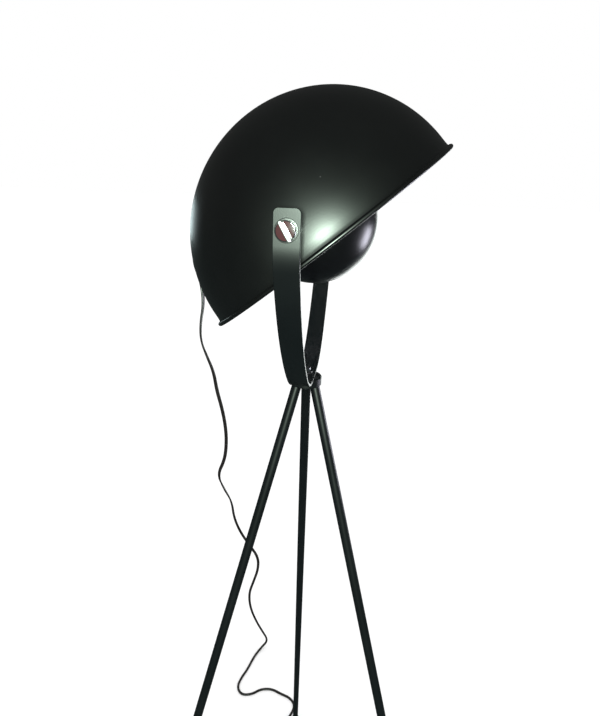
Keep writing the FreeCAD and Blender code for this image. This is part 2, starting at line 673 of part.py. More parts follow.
def round_path(points):
    """Straight runs joined by tangent arcs, each as large as its two runs allow; prints radii."""
    radii = []
    edges = []
    reached = points[0]
    for before, corner_point, after in zip(points, points[1:], points[2:]):
        back = before - corner_point
        ahead = after - corner_point
        shorter = min(back.Length, ahead.Length)
        trim = 0.45 * shorter
        half_turn = (math.pi - back.getAngle(ahead)) / 2
        radii.append(trim / math.tan(half_turn))
        back.normalize()
        ahead.normalize()
        start = corner_point + back * trim
        end = corner_point + ahead * trim
        inward = back + ahead
        inward.normalize()
        to_centre = radii[-1] / math.cos(half_turn)
        middle = corner_point + inward * (to_centre - radii[-1])
        edges.append(Part.LineSegment(reached, start).toShape())
        edges.append(Part.Arc(start, middle, end).toShape())
        reached = end
    edges.append(Part.LineSegment(reached, points[-1]).toShape())
    return Part.Wire(edges), radii


cord_length = 0.0


def cord_tube(label, points, place=None):
    """A stretch of cord as a round tube along its route."""
    global cord_length
    path, radii = round_path([Vector(*p) for p in points])
    first = path.OrderedEdges[0]
    start = first.valueAt(first.FirstParameter)
    heading = first.tangentAt(first.FirstParameter)
    section = Part.Wire([Part.Circle(start, heading, size("cord_radius")).toShape()])
    tube = path.makePipeShell([section], True, False)
    true_volume = math.pi * size("cord_radius") ** 2 * path.Length
    cord_length += path.Length
    print(f"{label}: {path.Length:.0f} mm, least radius {min(radii):.1f} mm of",
          [round(r) for r in radii], f"volume ratio {tube.Volume / true_volume:.4f}")
    return keep(shaped(label, tube), label, place)


CORD_UPPER = [
    (-154.8, 17.3, 1219.1), (-172.4, 26.6, 1217.1), (-185, 33.5, 1205), (-188, 35, 1186),
    (-184, 34, 1160), (-178, 33, 1129), (-177, 35, 1098), (-177, 38, 1072), (-171, 42, 1047),
    (-164, 46, 1022), (-161, 54, 990),
]
CORD_LOWER = [
    (-161, 54, 990), (-156, 63, 957), (-154, 74, 922), (-157, 87, 885), (-166, 104, 841),
    (-180, 121, 796), (-174, 139, 754), (-166, 154, 718), (-166, 176, 666), (-159, 199, 614),
    (-145, 220, 566), (-133, 241, 520), (-140, 265, 462), (-156, 291, 400), (-170, 320, 330),
    (-174, 352, 250), (-165, 385, 170), (-151, 414, 100), (-146, 434, 54), (-151, 448, 18),
    (-172, 441, 3), (-187, 410, 3), (-198, 366, 3), (-211, 334, 3), (-208, 313, 3),
    (-190, 302, 3), (-169, 309, 3), (-146, 327, 3), (-114, 331, 3), (-86, 320, 3),
    (-61, 310, 3), (-48, 292, 3), (-53, 268, 3), (-65, 246, 3), (-66, 219, 5), (-60, 192, 8),
]
CORD_AFTER_SWITCH = [(-60, 128, 8), (-59, 104, 6), (-57, 78, 4), (-56.2, 58, 3.8), (-56, 40, 3.8)]
CORD_TO_PLUG = [(-56, 40, 9.8), (-55.5, 18, 10), (-52, -4, 9), (-47, -25, 7.5), (-46, -44, 7)]

cord_tube("cord_upper", CORD_UPPER)
cord_tube("cord_lower", CORD_LOWER)
cord_tube("cord_after_switch", CORD_AFTER_SWITCH)
cord_tube("cord_to_plug", CORD_TO_PLUG)

coil_centre = Vector(-20, 40, 0)
coil_half = size("coil_rows") * size("cord_radius")
coil_height = 2 * coil_half
coil_base = at(coil_centre.x, coil_centre.y, size("tie_thickness"))
turn_length = 2 * math.pi * size("coil_radius")
print(f"coil: {size('coil_rows') ** 2 * turn_length:.0f} mm of cord in {size('coil_rows') ** 2:.0f} turns")
cord_length += size("coil_rows") ** 2 * turn_length + size("switch_length")
print(f"cord, outlet to plug: {cord_length:.0f} mm")
coil_outer = "Dim.coil_radius + Dim.coil_rows * Dim.cord_radius"
coil_inner = "Dim.coil_radius - Dim.coil_rows * Dim.cord_radius"
keep(cut(cylinder(coil_outer, "2 * Dim.coil_rows * Dim.cord_radius"),
         cylinder(coil_inner, "2 * Dim.coil_rows * Dim.cord_radius")), "cord_coil", coil_base)

tie_room = size("tie_room")
tie_width = coil_height + 2 * (tie_room + size("tie_thickness"))
tie = bind(doc.addObject("Part::Box", "Tie"), Length="Dim.tie_width")
tie.Width = tie_width
tie.Height = coil_height + tie_room + 2 * size("tie_thickness")
tie.Placement = at(-size("tie_width") / 2, -tie_width / 2, 0)
tie_hole = bind(doc.addObject("Part::Box", "TieHole"), Length="2 * Dim.tie_width")
tie_hole.Width = coil_height + 2 * tie_room
tie_hole.Height = coil_height + tie_room
tie_hole.Placement = at(-size("tie_width"), -coil_half - tie_room, size("tie_thickness"))
keep(cut(tie, tie_hole), "cord_tie", at(coil_centre.x, coil_centre.y + size("coil_radius"), 0))

neck_top = "(2 * Dim.relief_flange + Dim.shade_wall)"
relief = turned("Relief", [
    ("Dim.cord_radius", "0"), ("Dim.relief_flange_radius", "0"),
    ("Dim.relief_flange_radius", "Dim.relief_flange"),
    ("Dim.relief_foot_radius", "Dim.relief_flange"), ("Dim.relief_foot_radius", neck_top),
    ("Dim.relief_tip_radius", f"{neck_top} + Dim.relief_length"),
    ("Dim.cord_radius", f"{neck_top} + Dim.relief_length")])
keep(relief, "cord_relief", head_place.multiply(along_exit(outlet_inner)))

# the lead inside the shade lies in the outlet's plane: (distance from the axis, height)
inner_start = shade_centre + Vector(math.sin(math.radians(size("exit_polar"))), 0,
                                    math.cos(math.radians(size("exit_polar")))) * outlet_inner
INNER_LEAD = [(109, 29), (90, 24), (73, 34), (65, 54), (53, 71), (37, inlet_height)]
inner_route = [(inner_start.x, 0, inner_start.z)] + [(x, 0, z) for x, z in INNER_LEAD]
inner_route.append((size("cap_radius") - size("holder_wall"), 0, inlet_height))
cord_tube("inner_lead", inner_route,
          head_place.multiply(Placement(Vector(), Rotation(Vector(0, 0, 1), size("exit_turn")))))

# ---------------------------------------------------------------- switch on the cord

switch_place = at(-60, 160, 0)
switch_top = size("switch_base_height") + size("switch_cover_height")
rocker_axis = switch_top - size("rocker_height") / 2
cord_height = CORD_LOWER[-1][2]
screw_spots = [(side * size("casing_screw_x"), side * size("casing_screw_y"))
               for side in (1, -1)]


def switch_half(height, place, cavity_place):
    """Half of the switch's casing: a rounded block, hollow on the side where the halves meet."""
    block = box("Dim.switch_width", "Dim.switch_length", height, place)
    doc.recompute()
    rounded = doc.addObject("Part::Fillet", "Rounded")
    rounded.Base = block
    upright = [i for i, edge in enumerate(block.Shape.Edges, start=1)
               if edge.BoundBox.ZLength > size("switch_wall")]
    rounded.Edges = [(i, size("switch_width") / 4, size("switch_width") / 4) for i in upright]
    cavity = box("Dim.switch_width - 2 * Dim.switch_wall",
                 "Dim.switch_length - 4 * Dim.switch_wall", f"{height} - Dim.switch_wall",
                 cavity_place)
    return cut(rounded, cavity)


def screw_posts(low, high, bore_from):
    """The two posts that the casing's screws pass through, and their bores."""
    posts = [rod("Dim.casing_post_radius", high - low, at(x, y, low)) for x, y in screw_spots]
    bores = [rod("Dim.casing_screw_radius + Dim.thread_gap", high - bore_from, at(x, y, bore_from))
             for x, y in screw_spots]
    return posts, bores


cord_channel = cylinder("Dim.cord_radius + Dim.seat_gap", "2 * Dim.switch_length",
                        Placement(Vector(0, -size("switch_length"), cord_height),
                                  Rotation(Vector(1, 0, 0), -90)))
cord_channel_top = cylinder("Dim.cord_radius + Dim.seat_gap", "2 * Dim.switch_length",
                            cord_channel.Placement)
base_posts, base_bores = screw_posts(size("switch_wall") / 2, size("switch_base_height"), -1)
base_shell = switch_half("Dim.switch_base_height", at(), at(z=size("switch_wall")))
keep(cut(fuse(base_shell, *base_posts), cord_channel, *base_bores), "switch_base", switch_place)

cover_low = size("switch_base_height") + size("face_gap")
cover_shell = switch_half("Dim.switch_cover_height - Dim.face_gap", at(z=cover_low),
                          at(z=cover_low - size("face_gap")))
cover_posts, cover_bores = screw_posts(cover_low, switch_top - size("switch_wall") / 2, cover_low)
collar = box("Dim.rocker_width + 3 * Dim.switch_wall", "Dim.rocker_length + 3 * Dim.switch_wall",
             "Dim.rocker_height - Dim.face_gap", at(z=switch_top - size("rocker_height")))
well = box("Dim.rocker_width + 2 * Dim.shank_gap", "Dim.rocker_length + 5 * Dim.shank_gap",
           "4 * Dim.rocker_height", at(z=switch_top - 2 * size("rocker_height")))
axle_place = Placement(Vector(-size("rocker_width") / 2 - size("switch_wall") / 2, 0, rocker_axis),
                       Rotation(Vector(0, 1, 0), 90))
axle_bore = cylinder("Dim.axle_radius + Dim.thread_gap", "Dim.rocker_width + Dim.switch_wall",
                     axle_place)
keep(cut(fuse(cover_shell, collar, *cover_posts), well, axle_bore, cord_channel_top, *cover_bores),
     "switch_cover", switch_place)

rocker_block = box("Dim.rocker_width", "Dim.rocker_length", "Dim.rocker_height",
                   at(z=-size("rocker_height") / 2))
axle = cylinder("Dim.axle_radius", "Dim.rocker_width + Dim.switch_wall - 2 * Dim.thread_gap",
                Placement(Vector(-size("rocker_width") / 2 - size("switch_wall") / 2
                                 + size("thread_gap"), 0, 0), Rotation(Vector(0, 1, 0), 90)))
keep(fuse(rocker_block, axle), "switch_rocker", switch_place.multiply(
    Placement(Vector(0, 0, rocker_axis), Rotation(Vector(1, 0, 0), size("rocker_tilt")))))

screws = [rod("Dim.casing_screw_radius", switch_top - 2 * size("switch_wall"),
              at(x, y, size("switch_wall") / 2)) for x, y in screw_spots]
keep(fuse(*screws), "switch_screws", switch_place)
keep(box("0.4 * Dim.switch_width", "0.25 * Dim.switch_length",
         "Dim.switch_wall + 0.5 * Dim.cord_radius"), "switch_contacts",
     switch_place.multiply(at(-0.2 * size("switch_width"), -0.125 * size("switch_length"),
                              size("switch_wall"))))

# ---------------------------------------------------------------- plug

plug_rear = Vector(*CORD_TO_PLUG[-1])
plug_turn = Rotation(Vector(1, 0, 0), 90)
keep(cone("Dim.relief_tip_radius", "Dim.relief_foot_radius", "Dim.boot_length"), "plug_boot",
     Placement(plug_rear, plug_turn))
plug_block = box("Dim.plug_width", "Dim.plug_height", "Dim.plug_length")
doc.recompute()
plug_round = doc.addObject("Part::Fillet", "PlugRound")
plug_round.Base = plug_block
plug_corner = 0.28 * size("plug_height")
plug_round.Edges = [(i, plug_corner, plug_corner) for i in range(1, 13)]
pins = []
pin_holes = []
for side in (-1, 1):
    spot = at(side * size("pin_spacing") / 2, 0, size("plug_length") - size("pin_depth"))
    pins.append(rod("Dim.pin_radius", size("pin_depth") + size("pin_length"), spot))
    pin_holes.append(cylinder("Dim.pin_radius + Dim.thread_gap", "Dim.pin_length", spot))
plug_place = Placement(plug_rear, plug_turn).multiply(at(z=size("boot_length")))
keep(cut(plug_round, *pin_holes), "plug_body", plug_place)
keep(fuse(*pins), "plug_pins", plug_place)

# ---------------------------------------------------------------- check and write

doc.recompute()
for thing in doc.Objects:
    if "Invalid" in thing.State or "Error" in thing.State:
        raise RuntimeError(f"{thing.Label} did not recompute: {thing.State}")
for node in nodes:
    if node.Shape.isNull() or not node.Shape.isValid():
        raise RuntimeError(f"{node.Label} has no valid shape")

os.makedirs("parts", exist_ok=True)
for node in nodes:
    node.Shape.exportStep(os.path.join("parts", node.Label + ".step"))
print(len(nodes), "sub-parts written")
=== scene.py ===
import json

import bpy
import numpy as np
from mathutils import Matrix, Vector


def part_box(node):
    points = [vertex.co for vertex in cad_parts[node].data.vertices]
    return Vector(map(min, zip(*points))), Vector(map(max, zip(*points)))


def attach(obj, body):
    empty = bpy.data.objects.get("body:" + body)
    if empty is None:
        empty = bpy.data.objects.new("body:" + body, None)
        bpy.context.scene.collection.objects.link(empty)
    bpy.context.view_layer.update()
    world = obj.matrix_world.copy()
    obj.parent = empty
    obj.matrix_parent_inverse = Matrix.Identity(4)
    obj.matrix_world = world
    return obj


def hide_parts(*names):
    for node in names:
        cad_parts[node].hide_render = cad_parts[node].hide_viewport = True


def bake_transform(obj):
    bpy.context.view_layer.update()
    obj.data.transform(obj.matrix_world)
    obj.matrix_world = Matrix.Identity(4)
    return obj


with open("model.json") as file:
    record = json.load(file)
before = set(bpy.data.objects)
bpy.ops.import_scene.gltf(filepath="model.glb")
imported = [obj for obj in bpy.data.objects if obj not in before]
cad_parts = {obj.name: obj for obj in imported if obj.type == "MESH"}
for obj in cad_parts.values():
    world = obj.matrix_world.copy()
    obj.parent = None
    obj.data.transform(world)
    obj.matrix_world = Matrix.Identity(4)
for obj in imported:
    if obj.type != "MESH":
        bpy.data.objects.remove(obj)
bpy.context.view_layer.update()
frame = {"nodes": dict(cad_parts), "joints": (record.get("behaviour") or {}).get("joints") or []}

# The lamp: a spun dome that tilts in a U of flat bar, on a tripod of three tubes.  Metres.
# Sizes repeat those of the CAD part.
SHADE_LEAN = np.radians(-39.7)      # the head's own +Z, towards the dome's top, from the vertical
SHADE_RADIUS, SHADE_WALL, RIM_DROP = 0.150, 0.0012, 0.0294
BOWL_RADIUS, BOWL_WALL, BOWL_BEAD, BOWL_DROP = 0.069, 0.0010, 0.0015, 0.0034
ARM_OFFSET, ARM_TOP, ARM_STRAIGHT, ARM_BEND = 0.174, 0.0165, 0.012, 0.060
ARM_LEAN, ARM_KNEE = np.radians(20), np.radians(50)
YOKE_FLAT, BAR_WIDTH, BAR_THICKNESS, BAR_CORNER = 0.014, 0.022, 0.003, 0.004
LEG_SPLAY = np.radians(16.04)
LEG_TURNS = {"left": np.radians(214.9), "rear": np.radians(94.9), "right": np.radians(-25.1)}
EXIT_POLAR, EXIT_TURN = np.radians(61), np.radians(148)
FLEX_WIDTH, FLEX_THICK = 0.0060, 0.0032

pivot = np.array(next(j for j in frame["joints"] if j["name"] == "shade_tilt")["pos_m"])
YOKE_DROP = pivot[2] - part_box("yoke")[0][2] - BAR_THICKNESS / 2
HUB_MIDDLE = np.array([pivot[0], pivot[1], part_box("hub")[0][2]])
LEG_CIRCLE = 0.0124                 # the legs' axes from the hub's axis, at its underside


def turn_about(axis, angle):
    """A turn by an angle about x, y or z, as a matrix that a column vector is multiplied by."""
    c, s = np.cos(angle), np.sin(angle)
    first, second = {"x": (1, 2), "y": (2, 0), "z": (0, 1)}[axis]
    turn = np.eye(3)
    turn[first, first] = turn[second, second] = c
    turn[second, first], turn[first, second] = s, -s
    return turn


HEAD = turn_about("y", SHADE_LEAN)


def placed(points, turn, origin):
    """Points of a piece's own frame, turned and then moved to where the piece is."""
    return np.asarray(points) @ np.asarray(turn).T + np.asarray(origin)


# ------------------------------------------------------------------ camera

CAMERA_LENS = 24.87281               # mm, for a frame whose longer side is 36 mm
CAMERA_FROM_PIVOT = np.array([0.063263, -0.558998, 0.034638])
CAMERA_AZIMUTH, CAMERA_ELEVATION, CAMERA_ROLL = np.radians([97.31687, -19.47591, 2.09560])


def make_camera():
    """The camera stands a little right of the near arm and looks down at the lamp's neck."""
    lens = bpy.data.cameras.new("camera")
    lens.sensor_width = 36
    lens.lens = CAMERA_LENS
    lens.clip_start = 0.01
    camera = bpy.data.objects.new("camera", lens)
    bpy.context.scene.collection.objects.link(camera)
    level = np.cos(CAMERA_ELEVATION)
    ahead = np.array([level * np.cos(CAMERA_AZIMUTH), level * np.sin(CAMERA_AZIMUTH),
                      np.sin(CAMERA_ELEVATION)])
    right = np.array([np.sin(CAMERA_AZIMUTH), -np.cos(CAMERA_AZIMUTH), 0])
    up = np.cross(right, ahead)
    place = np.eye(4)
    place[:3, 0] = right * np.cos(CAMERA_ROLL) + up * np.sin(CAMERA_ROLL)
    place[:3, 1] = up * np.cos(CAMERA_ROLL) - right * np.sin(CAMERA_ROLL)
    place[:3, 2] = -ahead
    place[:3, 3] = pivot + CAMERA_FROM_PIVOT
    camera.matrix_world = Matrix(place.tolist())
    bpy.context.scene.camera = camera


make_camera()

# ------------------------------------------------------------------ ways to make a surface


def grid_faces(rows, columns, round_columns=True, first=0):
    """Quads between the neighbouring points of a grid, whose columns may close on themselves."""
    i, j = np.meshgrid(np.arange(rows - 1), np.arange(columns - (not round_columns)),
                       indexing="ij")
    k = (j + 1) % columns
    return (np.stack([i * columns + j, i * columns + k, (i + 1) * columns + k,
                      (i + 1) * columns + j], axis=-1).reshape(-1, 4) + first)


def make_piece(name, points, faces, materials, which=None, smooth=True):
    """A mesh object at the origin from points and faces; which gives each face's material."""
    mesh = bpy.data.meshes.new(name)
    mesh.from_pydata(np.asarray(points, float).reshape(-1, 3).tolist(), [],
                     [f.tolist() if hasattr(f, "tolist") else list(f) for f in faces])
    for material in materials:
        mesh.materials.append(material)
    if which is not None:
        mesh.polygons.foreach_set("material_index", np.asarray(which, np.int32))
    mesh.polygons.foreach_set("use_smooth", np.full(len(mesh.polygons), smooth))
    mesh.validate()
    mesh.update()
    piece = bpy.data.objects.new(name, mesh)
    bpy.context.scene.collection.objects.link(piece)
    return piece


def closed_tube(rings):
    """Faces of a stack of rings (ring, point, 3), each end shut by a fan to the ring's middle.
    Returns the points and the faces; the rings run so that the outside faces out."""
    count, around = rings.shape[:2]
    points = np.concatenate([rings.reshape(-1, 3), [rings[0].mean(0)], [rings[-1].mean(0)]])
    j = np.arange(around)
    k = (j + 1) % around
    last = (count - 1) * around
    start = np.stack([k, j, np.full(around, count * around)], axis=1)
    end = np.stack([last + j, last + k, np.full(around, count * around + 1)], axis=1)
    return points, [*grid_faces(count, around), *start, *end]


def arc(middle, radius, start, end, steps):
    """Points (across, along) of a circle's arc between two angles in degrees."""
    a = np.radians(np.linspace(start, end, steps))
    return np.stack([middle[0] + radius * np.cos(a), middle[1] + radius * np.sin(a)], axis=1)


def turned(profile, steps=96):
    """A profile of (radius, height) points carried round the Z axis: x = radius cos t,
    y = radius sin t, z = height.  A profile that begins or ends on the axis has one point there,
    and one whose two ends are off the axis closes on itself.  Returns the points, the faces,
    which face out where the profile runs from low to high on the outside, and the number of the
    profile's step that each face belongs to."""
    profile = np.asarray(profile, float)
    on_axis = profile[:, 0] < 1e-9
    t = np.linspace(0, 2 * np.pi, steps, endpoint=False)
    points, starts = [], []
    count = 0
    for (radius, height), pole in zip(profile, on_axis):
        starts.append(count)
        if pole:
            points.append([[0, 0, height]])
            count += 1
        else:
            points.append(np.stack([radius * np.cos(t), radius * np.sin(t),
                                    np.full(steps, height)], axis=1))
            count += steps
    j = np.arange(steps)
    k = (j + 1) % steps
    faces = []
    pairs = list(zip(range(len(profile) - 1), range(1, len(profile))))
    if not on_axis[0] and not on_axis[-1]:
        pairs.append((len(profile) - 1, 0))
    for low, high in pairs:
        a, b = starts[low], starts[high]
        if on_axis[low] and on_axis[high]:
            continue
        if on_axis[low]:
            faces += np.stack([np.full(steps, a), b + k, b + j], axis=1).tolist()
        elif on_axis[high]:
            faces += np.stack([a + j, a + k, np.full(steps, b)], axis=1).tolist()
        else:
            faces += np.stack([a + j, a + k, b + k, b + j], axis=1).tolist()
    return np.concatenate(points), faces, [p for p, (low, high) in enumerate(pairs)
                                           if not (on_axis[low] and on_axis[high])
                                           for _ in range(steps)]


def lathe(name, profile, material, turn, origin, body, steps=96, node=None):
    """A turned piece of one material, put in place on its body."""
    points, faces, _ = turned(profile, steps)
    piece = make_piece(name, placed(points, turn, origin), faces, [material])
    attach(piece, body)
    if node:
        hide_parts(*([node] if isinstance(node, str) else node))
    return piece


def softened(profile, radius, steps=5):
    """A profile of straight runs with each inner corner rounded by a small arc."""
    profile = [np.asarray(p, float) for p in profile]
    out = [profile[0]]
    for before, corner, after in zip(profile, profile[1:], profile[2:]):
        back, ahead = before - corner, after - corner
        reach = min(radius, 0.45 * np.linalg.norm(back), 0.45 * np.linalg.norm(ahead))
        a = corner + back / np.linalg.norm(back) * reach
        b = corner + ahead / np.linalg.norm(ahead) * reach
        s = np.linspace(0, 1, steps)[:, None]
        out.extend((1 - s) ** 2 * a + 2 * s * (1 - s) * corner + s ** 2 * b)
    out.append(profile[-1])
    return np.array(out)


# ------------------------------------------------------------------ shader groups


def new_group(name, inputs, outputs):
    """An empty shader node group with named inputs (name, kind, value) and outputs."""
    group = bpy.data.node_groups.new(name, "ShaderNodeTree")
    for label, kind, value in inputs:
        socket = group.interface.new_socket(label, in_out="INPUT", socket_type=kind)
        socket.default_value = value
    for label, kind in outputs:
        group.interface.new_socket(label, in_out="OUTPUT", socket_type=kind)
    tree = group.nodes
    return group, tree.new("NodeGroupInput"), tree.new("NodeGroupOutput")


FLOAT, VECTOR = "NodeSocketFloat", "NodeSocketVector"


def add(tree, kind, **settings):
    """A node, with its properties set, and its sockets by name where no property has it."""
    node = tree.nodes.new(kind)
    for label, value in settings.items():
        if hasattr(node, label):
            setattr(node, label, value)
        else:
            node.inputs[label.replace("_", " ")].default_value = value
    return node


def noise(tree, where, scale, detail=4.0, roughness=0.55):
    """A noise texture read at a place."""
    node = add(tree, "ShaderNodeTexNoise", Scale=scale, Detail=detail, Roughness=roughness)
    tree.links.new(where, node.inputs["Vector"])
    return node


def spread(tree, value, low, high, to_low=0.0, to_high=1.0):
    """A value's range from low to high stretched to a new range, and held at its ends."""
    node = add(tree, "ShaderNodeMapRange", From_Min=low, From_Max=high, To_Min=to_low,
               To_Max=to_high)
    tree.links.new(value, node.inputs["Value"])
    return node.outputs["Result"]


def maths(tree, operation, first, second):
    """Two values, each a socket or a number, put together."""
    node = add(tree, "ShaderNodeMath", operation=operation)
    for place, value in enumerate((first, second)):
        if isinstance(value, (int, float)):
            node.inputs[place].default_value = value
        else:
            tree.links.new(value, node.inputs[place])
    return node.outputs[0]


def coat_skin_group():
    """Powder coat: a fine orange-peel height, a cloudy change of gloss, and settled dust.
    Height is fine noise plus a quarter of a coarser one; Gloss and Dust are masks from 0 to 1."""
    group, given, out = new_group("coat_skin", [("Where", VECTOR, (0, 0, 0)),
                                                ("Peel Scale", FLOAT, 900.0),
                                                ("Dust", FLOAT, 0.5)],
                                  [("Height", FLOAT), ("Gloss", FLOAT), ("Specks", FLOAT)])
    link, where = group.links.new, given.outputs["Where"]
    fine = noise(group, where, 900, 2)
    link(given.outputs["Peel Scale"], fine.inputs["Scale"])
    coarse = noise(group, where, 160, 2)
    quarter = maths(group, "MULTIPLY", coarse.outputs["Fac"], 0.25)
    link(maths(group, "ADD", fine.outputs["Fac"], quarter), out.inputs["Height"])
    cloud = noise(group, where, 14, 3)
    link(spread(group, cloud.outputs["Fac"], 0.35, 0.7), out.inputs["Gloss"])
    cells = add(group, "ShaderNodeTexVoronoi", feature="F1", Scale=70)
    link(where, cells.inputs["Vector"])
    speck = spread(group, cells.outputs["Distance"], 0.045, 0.02)
    patch = noise(group, where, 22, 2)
    some = spread(group, patch.outputs["Fac"], 0.56, 0.62)
    specks = maths(group, "MULTIPLY", speck, some)
    link(maths(group, "MULTIPLY", specks, given.outputs["Dust"]), out.inputs["Specks"])
    return group


def fine_grain_group():
    """Moulded grain: the height and the gloss of a matt plastic or rubber, from two noises."""
    group, given, out = new_group("fine_grain", [("Where", VECTOR, (0, 0, 0)),
                                                 ("Scale", FLOAT, 1500.0)],
                                  [("Height", FLOAT), ("Gloss", FLOAT)])
    fine = noise(group, given.outputs["Where"], 1500, 3)
    group.links.new(given.outputs["Scale"], fine.inputs["Scale"])
    broad = noise(group, given.outputs["Where"], 60, 3)
    group.links.new(fine.outputs["Fac"], out.inputs["Height"])
    group.links.new(spread(group, broad.outputs["Fac"], 0.35, 0.65), out.inputs["Gloss"])
    return group


def worn_metal_group():
    """Bare metal: short scratches, from a noise squeezed along Z, and dull clouds."""
    group, given, out = new_group("worn_metal", [("Where", VECTOR, (0, 0, 0)),
                                                 ("Scale", FLOAT, 300.0)],
                                  [("Height", FLOAT), ("Dull", FLOAT)])
    stretch = add(group, "ShaderNodeMapping", Scale=(1, 1, 12))
    group.links.new(given.outputs["Where"], stretch.inputs["Vector"])
    scratch = noise(group, stretch.outputs["Vector"], 300, 5, 0.7)
    group.links.new(given.outputs["Scale"], scratch.inputs["Scale"])
    cloud = noise(group, given.outputs["Where"], 90, 4)
    group.links.new(scratch.outputs["Fac"], out.inputs["Height"])
    group.links.new(spread(group, cloud.outputs["Fac"], 0.4, 0.7), out.inputs["Dull"])
    return group


COAT_SKIN, FINE_GRAIN, WORN_METAL = coat_skin_group(), fine_grain_group(), worn_metal_group()

# ------------------------------------------------------------------ finishes


def new_finish(name, **settings):
    """A material with its Principled shader; settings are the shader's own sockets."""
    finish = bpy.data.materials.new(name)
    finish.use_nodes = True
    shader = finish.node_tree.nodes["Principled BSDF"]
    for label, value in settings.items():
        shader.inputs[label.replace("_", " ")].default_value = value
    return finish, finish.node_tree, shader


def where_on(tree, middle=(0, 0, 0), turn=(0, 0, 0)):
    """Object coordinates, centred and turned by a Mapping node."""
    here = add(tree, "ShaderNodeTexCoord")
    mapping = add(tree, "ShaderNodeMapping", vector_type="TEXTURE", Location=middle,
                  Rotation=turn)
    tree.links.new(here.outputs["Object"], mapping.inputs["Vector"])
    return mapping.outputs["Vector"]


def where_on_head(tree):
    """Object coordinates in the head's own frame, so that Z runs along the dome's axis."""
    return where_on(tree, tuple(pivot), (0, float(SHADE_LEAN), 0))


def use_group(tree, group, where, **values):
    """A shared group in a material, read at a place, with some of its inputs set."""
    node = add(tree, "ShaderNodeGroup", node_tree=group)
    tree.links.new(where, node.inputs["Where"])
    for label, value in values.items():
        node.inputs[label.replace("_", " ")].default_value = value
    return node


def bump(tree, height, strength, distance, shader, under=None):
    """A normal tilted by a height, over another bump if there is one, and put into the shader
    if one is given."""
    node = add(tree, "ShaderNodeBump", Strength=strength, Distance=distance)
    tree.links.new(height, node.inputs["Height"])
    if under is not None:
        tree.links.new(under, node.inputs["Normal"])
    if shader is not None:
        tree.links.new(node.outputs["Normal"], shader.inputs["Normal"])
    return node.outputs["Normal"]


def mixed(tree, share, first, second):
    """A colour between two, each a socket or a colour."""
    node = add(tree, "ShaderNodeMix", data_type="RGBA")
    tree.links.new(share, node.inputs["Factor"])
    for label, value in (("A", first), ("B", second)):
        socket = next(s for s in node.inputs if s.name == label and s.type == "RGBA")
        if isinstance(value, tuple):
            socket.default_value = (*value, 1)
        else:
            tree.links.new(value, socket)
    return next(s for s in node.outputs if s.type == "RGBA")


def coated(name, colour, roughness, peel, dust, level=0.5, rings=False):
    """Black powder coat over metal, with orange peel, cloudy gloss and specks of dust.
    Rings adds the faint steps that spinning leaves round the dome."""
    finish, tree, shader = new_finish(name, IOR=1.5, Specular_IOR_Level=level)
    where = where_on_head(tree) if rings else where_on(tree)
    skin = use_group(tree, COAT_SKIN, where, Peel_Scale=peel, Dust=dust)
    shade = mixed(tree, skin.outputs["Gloss"], colour, tuple(c * 1.25 for c in colour))
    tree.links.new(mixed(tree, skin.outputs["Specks"], shade, (0.35, 0.36, 0.34)),
                   shader.inputs["Base Color"])
    tree.links.new(spread(tree, skin.outputs["Gloss"], 0, 1, roughness - 0.02, roughness + 0.02),
                   shader.inputs["Roughness"])
    below = bump(tree, skin.outputs["Height"], 0.12, 0.0002, None if rings else shader)
    if rings:
        steps = add(tree, "ShaderNodeTexWave", wave_type="BANDS", bands_direction="Z", Scale=130,
                    Distortion=1.0, Detail=2.0)
        tree.links.new(where, steps.inputs["Vector"])
        bump(tree, steps.outputs["Fac"], 0.05, 0.00004, shader, below)
    return finish


def enamelled():
    """White enamel inside the dome, with faint spinning rings and a little grime."""
    finish, tree, shader = new_finish("white_enamel", Roughness=0.32)
    where = where_on_head(tree)
    skin = use_group(tree, COAT_SKIN, where, Peel_Scale=500, Dust=0.4)
    grime = noise(tree, where, 9, 4)
    shade = mixed(tree, spread(tree, grime.outputs["Fac"], 0.4, 0.75), (0.80, 0.79, 0.82),
                  (0.72, 0.71, 0.74))
    tree.links.new(mixed(tree, skin.outputs["Specks"], shade, (0.35, 0.33, 0.30)),
                   shader.inputs["Base Color"])
    tree.links.new(spread(tree, skin.outputs["Gloss"], 0, 1, 0.28, 0.36),
                   shader.inputs["Roughness"])
    bump(tree, skin.outputs["Height"], 0.08, 0.0002, shader)
    return finish


def metal(name, colour, roughness, scale, scratches=0.05, dulling=0.14):
    """Bare or plated metal with fine scratches and duller clouds."""
    finish, tree, shader = new_finish(name, Metallic=1.0)
    worn = use_group(tree, WORN_METAL, where_on(tree), Scale=scale)
    tree.links.new(mixed(tree, worn.outputs["Dull"], colour, tuple(c * 0.8 for c in colour)),
                   shader.inputs["Base Color"])
    tree.links.new(spread(tree, worn.outputs["Dull"], 0, 1, roughness, roughness + dulling),
                   shader.inputs["Roughness"])
    bump(tree, worn.outputs["Height"], scratches, 0.0002, shader)
    return finish


def moulded(name, colour, roughness, grain, depth=0.15, level=0.5):
    """Moulded plastic, rubber or ceramic with a fine grain and an uneven gloss."""
    finish, tree, shader = new_finish(name, Specular_IOR_Level=level)
    skin = use_group(tree, FINE_GRAIN, where_on(tree), Scale=grain)
    tree.links.new(mixed(tree, skin.outputs["Gloss"], colour, tuple(c * 1.3 for c in colour)),
                   shader.inputs["Base Color"])
    tree.links.new(spread(tree, skin.outputs["Gloss"], 0, 1, roughness - 0.04, roughness + 0.05),
                   shader.inputs["Roughness"])
    bump(tree, skin.outputs["Height"], depth, 0.0002, shader)
    return finish


